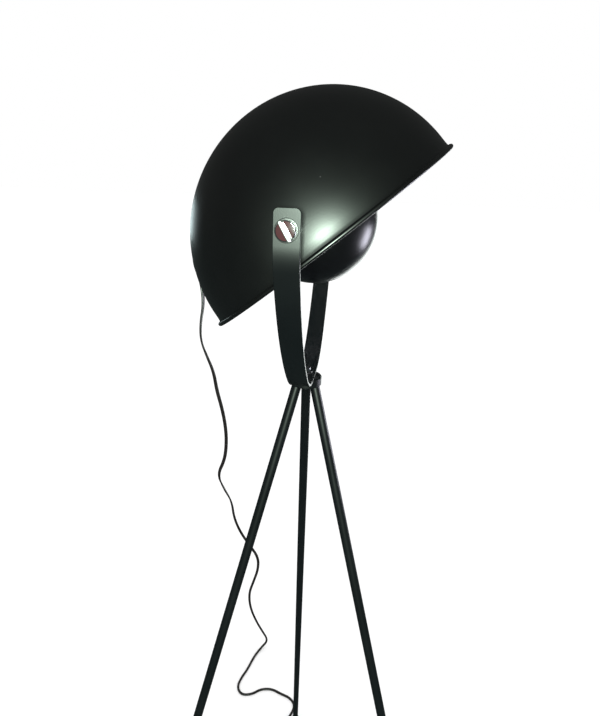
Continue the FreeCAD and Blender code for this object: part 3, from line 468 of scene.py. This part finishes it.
def frosted():
    """The bulb's frosted glass: white, a little see-through, with a cloudy coating."""
    finish, tree, shader = new_finish("frosted_glass", Metallic=0.0, Transmission_Weight=0.35,
                                      IOR=1.45, Roughness=0.45)
    where = where_on(tree)
    cloud = noise(tree, where, 40, 3)
    tree.links.new(mixed(tree, cloud.outputs["Fac"], (0.86, 0.86, 0.84), (0.93, 0.93, 0.92)),
                   shader.inputs["Base Color"])
    tree.links.new(spread(tree, cloud.outputs["Fac"], 0.3, 0.7, 0.4, 0.5),
                   shader.inputs["Roughness"])
    bump(tree, cloud.outputs["Fac"], 0.05, 0.0003, shader)
    return finish


SHADE_COAT = coated("shade_coat", (0.0026, 0.0036, 0.0038), 0.362, 1100, 0.5, 0.5, rings=True)
FRAME_COAT = coated("frame_coat", (0.0044, 0.0082, 0.0088), 0.36, 1300, 0.35, 0.32)
WASHER_COAT = coated("washer_coat", (0.012, 0.016, 0.015), 0.33, 1300, 0.3, 0.38)
BOWL_LACQUER = coated("bowl_lacquer", (0.0036, 0.0042, 0.0058), 0.30, 700, 0.4, 0.5)
ENAMEL = enamelled()
CHROME = metal("chrome", (0.78, 0.78, 0.80), 0.05, 260, 0.012, 0.03)
BRUSHED = metal("brushed_nickel", (0.80, 0.80, 0.80), 0.36, 240, 0.08)
ZINC = metal("zinc_plate", (0.60, 0.60, 0.62), 0.26, 300, 0.1)
BRASS = metal("brass", (0.72, 0.50, 0.22), 0.22, 300, 0.08)
RUBBER = moulded("black_rubber", (0.014, 0.014, 0.015), 0.62, 1400, 0.25)
PLASTIC = moulded("black_plastic", (0.011, 0.011, 0.012), 0.38, 1800, 0.15)
CERAMIC = moulded("white_ceramic", (0.70, 0.69, 0.65), 0.25, 900, 0.06)
FLEX = moulded("flex_sheath", (0.016, 0.012, 0.011), 0.40, 2000, 0.12, 0.5)
GLASS = frosted()

NODE_FINISH = {"shade_black": SHADE_COAT, "bowl_black": BOWL_LACQUER, "frame_grey": FRAME_COAT,
               "chrome": CHROME, "zinc": ZINC, "brass": BRASS, "black_rubber": RUBBER,
               "black_plastic": PLASTIC, "ceramic_white": CERAMIC, "bulb_glass": GLASS,
               "cord_black": FLEX}

for part in frame["nodes"].values():
    for place in range(len(part.data.materials)):
        part.material_slots[place].material = NODE_FINISH[
            part.data.materials[place].name.split(".")[0]]

# ------------------------------------------------------------------ cord

# the flex's route, a point at a time, from the dome's outlet to the plug
HANG = [
    (-154.8, 17.3, 1219.1), (-172.4, 26.6, 1217.1), (-186, 33.8, 1205), (-187.5, 36, 1184),
    (-179, 37.5, 1161), (-175, 34, 1130), (-181, 33.5, 1099), (-182, 36, 1072),
    (-174.6, 40.4, 1047), (-166.6, 44.7, 1022), (-164.7, 52, 989), (-160, 61, 956),
    (-158, 71.7, 920.6), (-160.2, 84.4, 883), (-168.7, 101, 838), (-188, 117, 794),
    (-181.2, 135.4, 753), (-171.5, 151, 716), (-173.5, 171.7, 663), (-166, 194, 610.5),
    (-151.3, 215, 562), (-137.6, 236, 515.4), (-143, 261, 458.7), (-159.3, 287, 397),
    (-178, 316, 328), (-182, 348, 248), (-172, 380, 167), (-158, 409, 97), (-153.6, 431, 56),
    (-156, 446, 22),
]
ON_FLOOR = [
    (-170, 444, 2.2), (-185, 411, 1.8), (-194, 370, 1.8), (-206, 338, 1.8), (-209.5, 313, 1.8),
    (-194, 294, 1.8), (-167, 299, 1.8), (-145, 318, 1.8), (-115, 323, 1.8), (-88, 313, 1.8),
    (-64, 307, 1.8), (-48, 290, 1.8), (-53, 266, 1.8), (-65, 246, 2), (-66, 219, 4.5),
    (-60, 192, 8),
]
THROUGH_SWITCH = [(-60, 170, 8), (-60, 150, 8)]
TO_COIL = [(-60, 128, 8), (-59, 104, 6), (-57, 78, 4), (-56, 56, 3.9)]
TO_PLUG = [(-56, 26, 10.0), (-54, 6, 9.2), (-50, -12, 8.2), (-46.5, -28, 7.3), (-46, -44, 7)]
COIL_CENTRE = np.array([-20.0, 40.0])
COIL_STEPS = 14                     # points in each turn


def coil_points():
    """Four turns about the coil's centre: from 35.8 in to 31.2 below, then out to 36 again on
    top, one cord higher.  x = r cos a, y = r sin a, with a from 180 degrees."""
    share = np.arange(4 * COIL_STEPS) / COIL_STEPS
    angle = np.pi + 2 * np.pi * share
    radius = np.interp(share, [0, 0.8, 1.2, 2.0, 2.8, 3.2, 4.0],
                       [35.8, 35.2, 31.6, 31.2, 31.8, 35.2, 36.0])
    height = np.interp(share, [0, 1.75, 2.25, 4.0], [3.9, 3.9, 9.9, 10.0])
    return np.stack([COIL_CENTRE[0] + radius * np.cos(angle),
                     COIL_CENTRE[1] + radius * np.sin(angle), height], axis=1)


route = np.array([*HANG, *ON_FLOOR, *THROUGH_SWITCH, *TO_COIL, *coil_points(), *TO_PLUG]) / 1000
first_turn = len(HANG) + len(ON_FLOOR) + len(THROUGH_SWITCH) + len(TO_COIL)
last_turn = first_turn + 4 * COIL_STEPS


def smooth_line(points, resolution):
    """The smooth curve that the points steer, read from a NURBS spline of order 3."""
    curve = bpy.data.curves.new("route", "CURVE")
    curve.dimensions = "3D"
    spline = curve.splines.new("NURBS")
    spline.points.add(len(points) - 1)
    spline.points.foreach_set("co", np.column_stack([points, np.ones(len(points))]).ravel())
    spline.order_u = 3
    spline.use_endpoint_u = True
    spline.resolution_u = resolution
    holder = bpy.data.objects.new("route", curve)
    mesh = bpy.data.meshes.new_from_object(holder)
    line = np.zeros(len(mesh.vertices) * 3)
    mesh.vertices.foreach_get("co", line)
    bpy.data.meshes.remove(mesh)
    bpy.data.objects.remove(holder)
    bpy.data.curves.remove(curve)
    return line.reshape(-1, 3)


def unit(vectors):
    """Vectors along the last axis, each made one long."""
    return vectors / np.maximum(np.linalg.norm(vectors, axis=-1, keepdims=True), 1e-12)


def flex_section():
    """Two round cores side by side under one sheath, at angles a: across is core cos a, moved
    out by the cores' distance from the middle, and up is core sin a, drawn in by a waist
    1 - 0.22 exp(-(across / 0.35 core)^2)."""
    a = np.linspace(0, 2 * np.pi, 20, endpoint=False)
    core = FLEX_THICK / 2
    shift = FLEX_WIDTH / 2 - core
    across = np.sign(np.cos(a)) * shift * np.minimum(1, np.abs(np.cos(a)) * 4) + core * np.cos(a)
    waist = 1 - 0.22 * np.exp(-(across / (0.35 * core)) ** 2)
    return np.stack([across, core * np.sin(a) * waist], axis=1)


# which way the flex's broad side faces, as (point's number, azimuth, elevation) in degrees
FACING = [(0, 152, 80), (2, 152, 40), (4, 150, 0), (7, 200, 0), (10, 262, 0), (14, 262, 0),
          (16, 200, 0), (19, 262, 0), (22, 290, 0), (26, 268, 10), (29, 264, 40), (31, 262, 80),
          (first_turn - 3, 180, 90), (first_turn, 180, 0), (last_turn - 1, 180 + 1440, 0),
          (last_turn + 2, 180 + 1440, 90), (last_turn + 4, 180 + 1440, 90)]
FLEX_STEPS = 14                     # points of the line between two of the route's


def make_flex():
    """The flex's outline carried along its line.  At each point the broad side faces the way
    that FACING gives, blended along the route, and the outline lies across the line."""
    line = smooth_line(route, FLEX_STEPS)
    tangent = unit(np.gradient(line, axis=0))
    number = np.concatenate([[0], np.arange(1, len(route) - 1) - 0.5, [len(route) - 2]])
    here = np.linspace(0, len(route) - 2, len(line))
    which = np.interp(here, number, np.arange(len(route)))
    keys = np.array(FACING, float)
    azimuth, elevation = (np.radians(np.interp(which, keys[:, 0], keys[:, k])) for k in (1, 2))
    facing = np.stack([np.cos(azimuth) * np.cos(elevation), np.sin(azimuth) * np.cos(elevation),
                       np.sin(elevation)], axis=1)
    across = unit(np.cross(tangent, facing))
    up = np.cross(across, tangent)
    outline = flex_section()
    rings = (line[:, None] + across[:, None] * outline[None, :, :1]
             + up[:, None] * outline[None, :, 1:])
    return make_piece("supply_flex", *closed_tube(rings), [FLEX]), line


flex, flex_line = make_flex()
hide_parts("cord_upper", "cord_lower", "cord_after_switch", "cord_coil", "cord_to_plug")
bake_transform(flex)

# ------------------------------------------------------------------ dome and bowl


def joined(*surfaces):
    """Several closed surfaces, each points and faces, as the points and faces of one mesh."""
    points, faces, first = [], [], 0
    for some_points, some_faces in surfaces:
        points.append(some_points)
        faces += [[int(v) + first for v in face] for face in some_faces]
        first += len(some_points)
    return np.concatenate(points), faces


def make_dome():
    """Half a sphere of spun sheet, turned about the head's axis: down the white inner skin,
    out through a short flare, round a rolled bead, over a crease and up the black outer skin."""
    inner = arc((0, -RIM_DROP), SHADE_RADIUS - SHADE_WALL, 90, 2.2, 60)
    inner[0] = 0, inner[0, 1]
    flare_in = np.array([[0.14895, 0.0038], [0.1493, 0.0022], [0.1500, 0.0008]])
    bead = arc((0.1521, 0.0), 0.0021, 190, 485, 26)
    flare_out = np.array([[0.15075, 0.0024], [0.15035, 0.0036], [0.15015, 0.0052]])
    outer = arc((0, -RIM_DROP), SHADE_RADIUS, 3.0, 90, 70)
    outer[-1] = 0, outer[-1, 1]
    rim = np.concatenate([flare_in, bead, flare_out]) + (0, -RIM_DROP)
    profile = np.concatenate([inner, rim, outer])
    points, faces, row = turned(profile, 168)
    which = (np.array(row) < len(inner) + len(flare_in)).astype(int)
    dome = make_piece("shade_shell", placed(points, HEAD, pivot), faces, [SHADE_COAT, ENAMEL],
                      which)
    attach(dome, "head")
    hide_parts("shade")


def make_bowl():
    """The anti-glare bowl, half a sphere that opens into the dome: up the black outer skin,
    round a thin bead and down the white inner skin."""
    outer = arc((0, 0), BOWL_RADIUS, -90, -1.5, 50)
    outer[0] = 0, outer[0, 1]
    bead = arc((BOWL_RADIUS - 0.0002, 0.0010), BOWL_BEAD, -60, 205, 20)
    inner = arc((0, 0), BOWL_RADIUS - BOWL_WALL, -1.5, -90, 50)
    inner[-1] = 0, inner[-1, 1]
    profile = np.concatenate([outer, bead, inner]) + (0, -BOWL_DROP)
    points, faces, row = turned(profile, 128)
    which = (np.array(row) >= len(outer) + len(bead) - 2).astype(int)
    bowl = make_piece("glare_bowl_shell", placed(points, HEAD, pivot), faces,
                      [BOWL_LACQUER, ENAMEL], which)
    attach(bowl, "head")
    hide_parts("glare_bowl")


make_dome()
make_bowl()

# ------------------------------------------------------------------ yoke


def yoke_line():
    """One half of the bar's middle line from the arm's end to the bottom's middle, as (y, z)
    from the tilt axis: straight, a bend, two arcs that meet smoothly, and a flat."""
    bend_end = np.array([ARM_OFFSET - ARM_BEND * (1 - np.cos(ARM_LEAN)),
                         -ARM_STRAIGHT - ARM_BEND * np.sin(ARM_LEAN)])
    across, down = np.cos(ARM_LEAN) - np.cos(ARM_KNEE), np.sin(ARM_KNEE) - np.sin(ARM_LEAN)
    depth = YOKE_DROP + bend_end[1]
    bottom = (((bend_end[0] - YOKE_FLAT) * down - depth * across)
              / (np.cos(ARM_KNEE) * down - (1 - np.sin(ARM_KNEE)) * across))
    side = (depth - bottom * (1 - np.sin(ARM_KNEE))) / down
    side_middle = bend_end - np.array([np.cos(ARM_LEAN), -np.sin(ARM_LEAN)]) * side
    lean, knee = np.degrees(ARM_LEAN), np.degrees(ARM_KNEE)
    end = ARM_TOP - BAR_CORNER * (1 - np.cos(np.linspace(0, np.pi / 2, 9)))
    return np.concatenate([
        np.stack([np.full(9, ARM_OFFSET), end], axis=1),
        np.stack([np.full(5, ARM_OFFSET), np.linspace(0.010, -ARM_STRAIGHT, 5)], axis=1),
        arc((ARM_OFFSET - ARM_BEND, -ARM_STRAIGHT), ARM_BEND, 0, -lean, 10)[1:],
        arc(side_middle, side, -lean, -knee, 26)[1:],
        arc((YOKE_FLAT, bottom - YOKE_DROP), bottom, -knee, -90, 22)[1:],
        [(YOKE_FLAT / 2, -YOKE_DROP), (0, -YOKE_DROP)]])


def make_yoke():
    """The bar's outline, a rectangle with rounded edges, carried along the U.  Near each end
    its half width follows a quarter circle, so that the corners are rounded."""
    half = yoke_line()
    line = np.concatenate([half * (-1, 1), half[-2::-1]])
    run = np.concatenate([[0], np.cumsum(np.linalg.norm(np.diff(line, axis=0), axis=1))])
    to_end = np.minimum(run, run[-1] - run)
    round_off = np.sqrt(np.maximum(0, BAR_CORNER ** 2
                                   - np.maximum(0, BAR_CORNER - to_end) ** 2)) - BAR_CORNER
    half_width = BAR_WIDTH / 2 + round_off
    tangent = unit(np.gradient(line, axis=0))
    out = np.stack([-tangent[:, 1], tangent[:, 0]], axis=1)
    edge, thick = 0.0006, BAR_THICKNESS / 2
    turn = np.radians(np.concatenate([np.linspace(q, q + 90, 5) for q in (0, 90, 180, 270)]))
    corner_x = np.repeat([1, -1, -1, 1], 5)
    corner_t = np.repeat([1, 1, -1, -1], 5)
    x = corner_x * (half_width[:, None] - edge) + edge * np.cos(turn)
    t = corner_t * (thick - edge) + edge * np.sin(turn)
    rings = np.stack([x, line[:, None, 0] + out[:, None, 0] * t,
                      line[:, None, 1] + out[:, None, 1] * t], axis=-1)
    points, faces = closed_tube(rings + pivot)
    bar = make_piece("yoke_bar", points, faces, [FRAME_COAT])
    corners = bar.modifiers.new("flat_faces", "WEIGHTED_NORMAL")
    corners.keep_sharp = True
    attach(bar, "stand")
    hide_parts("yoke")


def side_turn(side):
    """The turn that takes a piece's own +Z to the -Y side (near) or the +Y side (far)."""
    return turn_about("x", -side * np.pi / 2)


def rounded_outline(half_x, half_y, power, steps=72):
    """|x/a|^n + |y/b|^n = 1 as points at even angles."""
    a = np.linspace(0, 2 * np.pi, steps, endpoint=False)
    c, s = np.cos(a), np.sin(a)
    return np.stack([np.sign(c) * np.abs(c) ** (2 / power) * half_x,
                     np.sign(s) * np.abs(s) ** (2 / power) * half_y], axis=1)


def wing_surface(length, width, low, high, twist, power):
    """A flat wing with a rounded outline: |x/a|^n + |y/b|^n = 1, drawn in near its edge."""
    steps, soft = 56, 0.0004
    x, y = rounded_outline(length / 2, width / 2, power, steps).T
    rings = []
    for height, draw in ((low, 0.0), (high - soft, 0.0), (high - 0.3 * soft, 0.6 * soft),
                         (high, 1.4 * soft)):
        rings.append(np.stack([x - np.sign(x) * np.minimum(draw, np.abs(x)),
                               y - np.sign(y) * np.minimum(draw, np.abs(y)),
                               np.full(steps, height)], axis=1))
    return closed_tube(np.array(rings) @ turn_about("z", twist).T)


def make_thumb_screws():
    """Each thumb screw: shank and a round head with a rounded edge, turned about the tilt axis,
    and a rounded wing across the head.  A washer lies between the head and the arm."""
    washer_in = ARM_OFFSET + BAR_THICKNESS / 2
    washer_out = washer_in + 0.0012
    seat = washer_out + 0.00005         # the underside of the screw's head
    tip = 0.134
    for name, side in (("near", -1), ("far", 1)):
        head = softened([(0, tip), (0.0025, tip), (0.0025, seat), (0.0076, seat),
                         (0.0080, seat + 0.00045), (0.0080, seat + 0.00435),
                         (0.0075, seat + 0.00485), (0, seat + 0.00485)], 0.0005)
        round_part = turned(head, 96)[:2]
        wing = wing_surface(0.0174, 0.0032, seat + 0.00225, seat + 0.009,
                            np.radians(60 * side), 5)
        points, faces = joined(round_part, wing)
        which = np.arange(len(faces)) >= len(round_part[1])
        screw = make_piece(f"thumb_screw_{name}_piece", placed(points, side_turn(side), pivot),
                           faces, [CHROME, BRUSHED], which)
        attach(screw, f"thumb_{name}")
        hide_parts(f"thumb_screw_{name}")
        lathe(f"arm_washer_{name}_piece",
              softened([(0.0027, washer_in), (0.0095, washer_in), (0.0095, washer_out),
                        (0.0027, washer_out)], 0.0004, 4),
              WASHER_COAT, side_turn(side), pivot, "stand", 96,
              f"arm_washer_{name}")


make_yoke()
make_thumb_screws()

# ------------------------------------------------------------------ feet and relief


def leg_frame(turn):
    """A leg's turn, whose +Z runs down the tube, and the top of its axis in the hub's base."""
    way = np.array([np.cos(turn), np.sin(turn), 0])
    down = np.sin(LEG_SPLAY) * way - np.array([0, 0, np.cos(LEG_SPLAY)])
    side = np.array([-np.sin(turn), np.cos(turn), 0])
    return np.stack([side, np.cross(down, side), down], axis=1), HUB_MIDDLE + LEG_CIRCLE * way


def make_feet():
    """Rubber feet: a turned sleeve with a rounded lip and three shallow grooves, cut level at
    the floor."""
    for name, turn in LEG_TURNS.items():
        frame_of_leg, top = leg_frame(turn)
        length = top[2] / np.cos(LEG_SPLAY)
        sleeve = [(0.0060, -0.030), (0.0072, -0.030), (0.0079, -0.0292), (0.0080, -0.028)]
        for groove in (-0.0245, -0.0210, -0.0175):
            sleeve += [(0.0080, groove - 0.0006), (0.0076, groove - 0.0002),
                       (0.0076, groove + 0.0002), (0.0080, groove + 0.0006)]
        sleeve += [(0.0080, -0.006), (0.0080, 0.0), (0.0080, 0.004), (0, 0.004)]
        profile = np.array([(0, -0.030), *sleeve]) + (0, length)
        points, faces, _ = turned(profile, 64)
        points = placed(points, frame_of_leg, top)
        points[:, 2] = np.maximum(points[:, 2], 0)
        foot = make_piece(f"foot_{name}_piece", points, faces, [RUBBER])
        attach(foot, "stand")
        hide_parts(f"foot_{name}")


def make_relief():
    """The dome's strain relief: a flange inside and out and a sleeve that tapers to the flex in
    an even run of shallow grooves, turned about the outlet's axis."""
    way = HEAD @ np.array([np.sin(EXIT_POLAR) * np.cos(EXIT_TURN),
                           np.sin(EXIT_POLAR) * np.sin(EXIT_TURN), np.cos(EXIT_POLAR)])
    side = unit(np.cross(way, (0, 0, 1)))
    middle = pivot + HEAD @ np.array([0, 0, -RIM_DROP])
    root, mouth = 0.1516, 0.1812        # the tapered sleeve's ends, from the sphere's middle
    along = np.linspace(root, mouth, 61)
    taper = np.interp(along, [root, mouth], [0.0065, 0.0043])
    groove = 0.00055 * np.clip(np.sin(2 * np.pi * (along - 0.1530) / 0.0042), 0, 1)
    groove[(along < 0.1530) | (along > 0.1790)] = 0
    sleeve = np.stack([taper - groove, along], axis=1)
    profile = [(0, 0.1460), (0.0088, 0.1460), (0.0095, 0.1466), (0.0095, 0.1480),
               (0.0066, 0.1484), (0.0066, 0.1506), *sleeve, (0.0036, 0.1817), (0, 0.1817)]
    lathe("cord_relief_sleeve", profile, RUBBER,
          np.stack([side, np.cross(way, side), way], axis=1), middle, "head", 56,
          "cord_relief")


make_feet()
make_relief()

# ------------------------------------------------------------------ tie, switch and plug


def cushion_stack(levels, power, steps=72):
    """A closed body from level outlines (half x, half y, z), low to high."""
    return closed_tube(np.array([np.column_stack([rounded_outline(a, b, power, steps),
                                                  np.full(steps, z)]) for a, b, z in levels]))


def on_stand(name, surface, material, nodes, origin=(0, 0, 0), turn=np.eye(3),
             body="stand"):
    """A piece of one material from a surface, its points and faces, put in place on its body."""
    points, faces = surface
    piece = make_piece(name, placed(points, turn, origin), faces, [material])
    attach(piece, body)
    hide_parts(*nodes)
    return piece


def make_tie():
    """A flat band round the coil's bundle: a rounded loop in the YZ plane, wide along x, with
    its edges drawn in a little."""
    steps = 64
    loop = rounded_outline(0.0068, 0.0064, 5, steps)
    grown = loop * (1 + 0.0008 / 0.0069)
    rows = []
    for x, skin, draw in ((-0.0060, loop, 0), (-0.0060, grown, 0.0003), (-0.0056, grown, 0),
                          (0.0056, grown, 0), (0.0060, grown, 0.0003), (0.0060, loop, 0)):
        at = skin * (1 - draw / 0.0075)
        rows.append(np.column_stack([np.full(steps, x), at]))
    rows = np.array(rows + rows[:1])
    points = rows[:-1].reshape(-1, 3)
    faces = grid_faces(len(rows), steps) % len(points)
    return on_stand("tie_band", (points, faces), PLASTIC, ["cord_tie"],
                    (-0.020, 0.073, 0.0072))


def make_switch():
    """The switch in the flex: two shells that meet at a fine groove, the upper one crowned,
    with a raised frame round the rocker."""
    middle = (-0.060, 0.160, 0)
    base = cushion_stack([(0.0130, 0.0300, 0.0), (0.0142, 0.0312, 0.0006),
                          (0.0149, 0.0319, 0.0022), (0.0150, 0.0320, 0.0084),
                          (0.0146, 0.0316, 0.0088), (0.0146, 0.0316, 0.0090)], 5)
    cover = cushion_stack([(0.0146, 0.0316, 0.0091), (0.0150, 0.0320, 0.0095),
                           (0.0150, 0.0320, 0.0135), (0.0147, 0.0317, 0.0162),
                           (0.0138, 0.0308, 0.0184), (0.0122, 0.0290, 0.0196),
                           (0.0090, 0.0230, 0.0200)], 4)
    inner, outer = (rounded_outline(a, b, 8, 72) for a, b in ((0.0080, 0.0108), (0.0094, 0.0122)))
    rows = [np.column_stack([edge, np.full(72, z)]) for edge, z in
            ((outer, 0.0192), (outer, 0.0198), (0.97 * outer, 0.0200), (1.02 * inner, 0.0200),
             (inner, 0.0197), (inner, 0.0192))]
    rim_points = np.concatenate(rows)
    rim = rim_points, grid_faces(7, 72) % len(rim_points)
    return [on_stand("switch_base_shell", base, PLASTIC, ["switch_base"], middle),
            on_stand("switch_cover_shell", joined(cover, rim), PLASTIC,
                     ["switch_cover"], middle)]


def make_rocker():
    """The rocker: a block whose top is a shallow dip along y, z = top + dip (y/half)^2."""
    outline = rounded_outline(0.0073, 0.0100, 8, 72)
    rings = []
    for scale, low, dip in ((1.0, -0.0046, 0), (1.0, 0.0030, 0.0010), (0.96, 0.0034, 0.0010),
                            (0.6, 0.0034, 0.0010), (0.2, 0.0034, 0.0010)):
        at = outline * scale
        rings.append(np.column_stack([at, low + dip * (at[:, 1] / 0.0100) ** 2]))
    axis = np.array([-0.060, 0.160, 0.0165])
    return on_stand("rocker_key", closed_tube(np.array(rings)), PLASTIC,
                    ["switch_rocker"], axis, turn_about("x", np.radians(8)), "rocker")


def make_plug():
    """The flat plug, its ribbed boot, and its two round pins with rounded tips."""
    middle = np.array([-0.046, -0.058, 0.0070])
    along_minus_y = turn_about("x", np.pi / 2)
    body = cushion_stack([(0.0085, 0.0048, 0.0), (0.0112, 0.0062, 0.0010),
                          (0.0124, 0.0068, 0.0050), (0.0130, 0.0070, 0.0200),
                          (0.0130, 0.0070, 0.0330), (0.0126, 0.0067, 0.0352),
                          (0.0116, 0.0060, 0.0360)], 4)
    along = np.linspace(0.0004, 0.0136, 45)
    rib = 0.0005 * np.clip(np.sin(2 * np.pi * along / 0.0034), 0, 1)
    boot = turned([(0, -0.0010), (0.0060, -0.0010), *np.stack(
        [np.interp(along, [0, 0.014], [0.0062, 0.0042]) - rib, along], axis=1),
        (0.0036, 0.0139), (0, 0.0139)], 48)[:2]
    pin = [(0, 0.028), (0.0020, 0.028), (0.0020, 0.0535), (0.0017, 0.0545), (0.0010, 0.0550),
           (0, 0.0550)]
    pins = []
    for side in (-1, 1):
        points, faces, _ = turned(pin, 32)
        pins.append((points + (side * 0.0093, 0, 0), faces))
    return [on_stand("plug_housing", body, PLASTIC, ["plug_body"], middle,
                     along_minus_y),
            on_stand("plug_boot_sleeve", boot, RUBBER, ["plug_boot"], middle,
                     turn_about("x", -np.pi / 2)),
            on_stand("plug_pins_pair", joined(*pins), BRASS, ["plug_pins"], middle,
                     along_minus_y)]


tie = make_tie()
switch_pieces = make_switch()
rocker = make_rocker()
plug_pieces = make_plug()

# ------------------------------------------------------------------ bulb and holder


def threaded(radius, low, high, pitch, depth, steps=64):
    """A screw skin: r = radius - depth (1 - cos(2 pi z / pitch - t)) / 2, with plain ends."""
    z = np.linspace(low, high, int((high - low) / pitch * 10) + 1)
    t = np.linspace(0, 2 * np.pi, steps, endpoint=False)
    fade = np.clip(np.minimum(z - low, high - z) / (0.5 * pitch), 0, 1)[:, None]
    r = radius - depth * fade * (1 - np.cos(2 * np.pi * z[:, None] / pitch - t)) / 2
    return closed_tube(np.stack([r * np.cos(t), r * np.sin(t),
                                 np.repeat(z[:, None], steps, axis=1)], axis=-1))


def make_bulb():
    """The bulb: a round end that runs into its neck in one smooth curve, and a screw cap."""
    ball = arc((0, 0.0053), 0.030, -90, 38, 34)
    ball[0] = 0, ball[0, 1]
    s = np.linspace(0, 1, 16)[1:, None]
    start, end = ball[-1], np.array([0.0130, 0.0452])
    neck = ((1 - s) ** 3 * start + 3 * s * (1 - s) ** 2 * (start + (-0.0055, 0.0070))
            + 3 * s ** 2 * (1 - s) * (end + (0.0012, -0.0110)) + s ** 3 * end)
    lathe("bulb_envelope", np.concatenate([ball, neck, [(0.0100, 0.0455), (0, 0.0455)]]), GLASS,
          HEAD, pivot, "head", 96, "bulb_glass")
    on_stand("bulb_screw_cap", threaded(0.0132, 0.0453, 0.0676, 0.0036, 0.0010), ZINC,
             ["bulb_screw"], pivot, HEAD, "head")


def make_holder():
    """The lamp holder: a skirt with an evenly ribbed grip, and a cap that draws in to the top."""
    t = np.linspace(0, 2 * np.pi, 144, endpoint=False)
    z = np.array([0.0433, 0.0437, 0.0480, 0.0486, 0.0500, 0.0700, 0.0714, 0.0720, 0.0790, 0.0793])
    radius = np.array([0.0192, 0.0198, 0.0200, 0.0196, 0.0200, 0.0200, 0.0196, 0.0199, 0.0199,
                       0.0194])
    ribbed = np.array([0, 0, 0, 0, 1, 1, 0, 0, 0, 0])
    r = radius[:, None] - 0.0005 * ribbed[:, None] * (1 - np.cos(36 * t)) / 2
    wall = 0.0180
    rows = np.concatenate([[np.stack([wall * np.cos(t), wall * np.sin(t),
                                      np.full(144, 0.0433)], axis=1)],
                           np.stack([r * np.cos(t), r * np.sin(t),
                                     np.repeat(z[:, None], 144, axis=1)], axis=-1),
                           [np.stack([wall * np.cos(t), wall * np.sin(t),
                                      np.full(144, 0.0793)], axis=1)]])
    points = rows.reshape(-1, 3)
    on_stand("holder_skirt_ribbed", (points, grid_faces(len(rows) + 1, 144) % len(points)),
             PLASTIC, ["holder_skirt"], pivot, HEAD, "head")
    cap = softened([(0, 0.0794), (0.0212, 0.0794), (0.0220, 0.0802), (0.0220, 0.0850),
                    (0.0212, 0.0858), (0.0215, 0.0866), (0.0142, 0.1010), (0.0130, 0.1043),
                    (0, 0.1043)], 0.0009, 4)
    lathe("holder_cap_turned", cap, PLASTIC, HEAD, pivot, "head", 96,
          "holder_cap")


make_bulb()
make_holder()

# ------------------------------------------------------------------ floor and light


def make_floor():
    """A wide pale floor, which polished surfaces see darker than the eye does: the dark colour
    that gloss rays get is a painted dark reflection.
    """
    finish, tree, shader = new_finish("pale_floor", Roughness=0.9, Specular_IOR_Level=0.0)
    path = add(tree, "ShaderNodeLightPath")
    # painted dark reflection: gloss rays see the floor near black, the eye sees it pale
    tree.links.new(mixed(tree, path.outputs["Is Glossy Ray"], (0.96, 0.96, 0.96),
                         (0.035, 0.045, 0.045)), shader.inputs["Base Color"])
    side = 40.0
    floor = make_piece("floor", [(-side, -side, 0), (side, -side, 0), (side, side, 0),
                                 (-side, side, 0)], [(0, 1, 2, 3)], [finish], smooth=False)


def area_light(name, place, size, power, colour):
    """A soft box that faces the tilt axis.  It shows in gloss only; the even light that falls on
    matt surfaces comes from the studio air."""
    lamp = bpy.data.lights.new(name, "AREA")
    lamp.shape = "RECTANGLE"
    lamp.size, lamp.size_y = size
    lamp.energy = power
    lamp.color = colour
    holder = bpy.data.objects.new(name, lamp)
    bpy.context.scene.collection.objects.link(holder)
    holder.location = place
    holder.rotation_mode = "QUATERNION"
    holder.rotation_quaternion = (Vector(pivot) - Vector(place)).to_track_quat("-Z", "Y")
    holder.visible_camera = False
    holder.visible_diffuse = False


def make_world():
    """White studio air: white to look at, pale for soft light, and dark where gloss looks up."""
    world = bpy.data.worlds.new("studio")
    world.use_nodes = True
    bpy.context.scene.world = world
    tree = world.node_tree
    tree.nodes.clear()
    path = add(tree, "ShaderNodeLightPath")
    seen = add(tree, "ShaderNodeBackground", Color=(1, 1, 1, 1))
    soft = add(tree, "ShaderNodeBackground", Color=(1, 1, 1, 1), Strength=1.15)
    shine = add(tree, "ShaderNodeBackground", Color=(0.06, 0.062, 0.062, 1))
    out = add(tree, "ShaderNodeOutputWorld")
    first, second = add(tree, "ShaderNodeMixShader"), add(tree, "ShaderNodeMixShader")
    tree.links.new(path.outputs["Is Glossy Ray"], first.inputs["Fac"])
    tree.links.new(soft.outputs[0], first.inputs[1])
    tree.links.new(shine.outputs[0], first.inputs[2])
    tree.links.new(path.outputs["Is Camera Ray"], second.inputs["Fac"])
    tree.links.new(first.outputs[0], second.inputs[1])
    tree.links.new(seen.outputs[0], second.inputs[2])
    tree.links.new(second.outputs[0], out.inputs["Surface"])


make_floor()
make_world()
area_light("key", (0.110, -1.45, 1.345), (0.26, 0.26), 64, (0.80, 1.0, 0.84))
area_light("left_window", (-0.93, 0.92, 1.205), (0.36, 0.20), 1.0, (0.80, 0.98, 1.0))
area_light("right_window", (1.40, 0.68, 0.78), (0.55, 0.55), 12, (0.88, 0.87, 1.0))
area_light("back_card", (0.55, 1.9, 0.62), (0.8, 1.5), 16, (0.95, 1.0, 0.98))
area_light("red_card", (-0.206, -1.24, 1.15), (0.50, 0.50), 0.11, (1.0, 0.16, 0.14))
bpy.context.scene.view_settings.view_transform = "Standard"
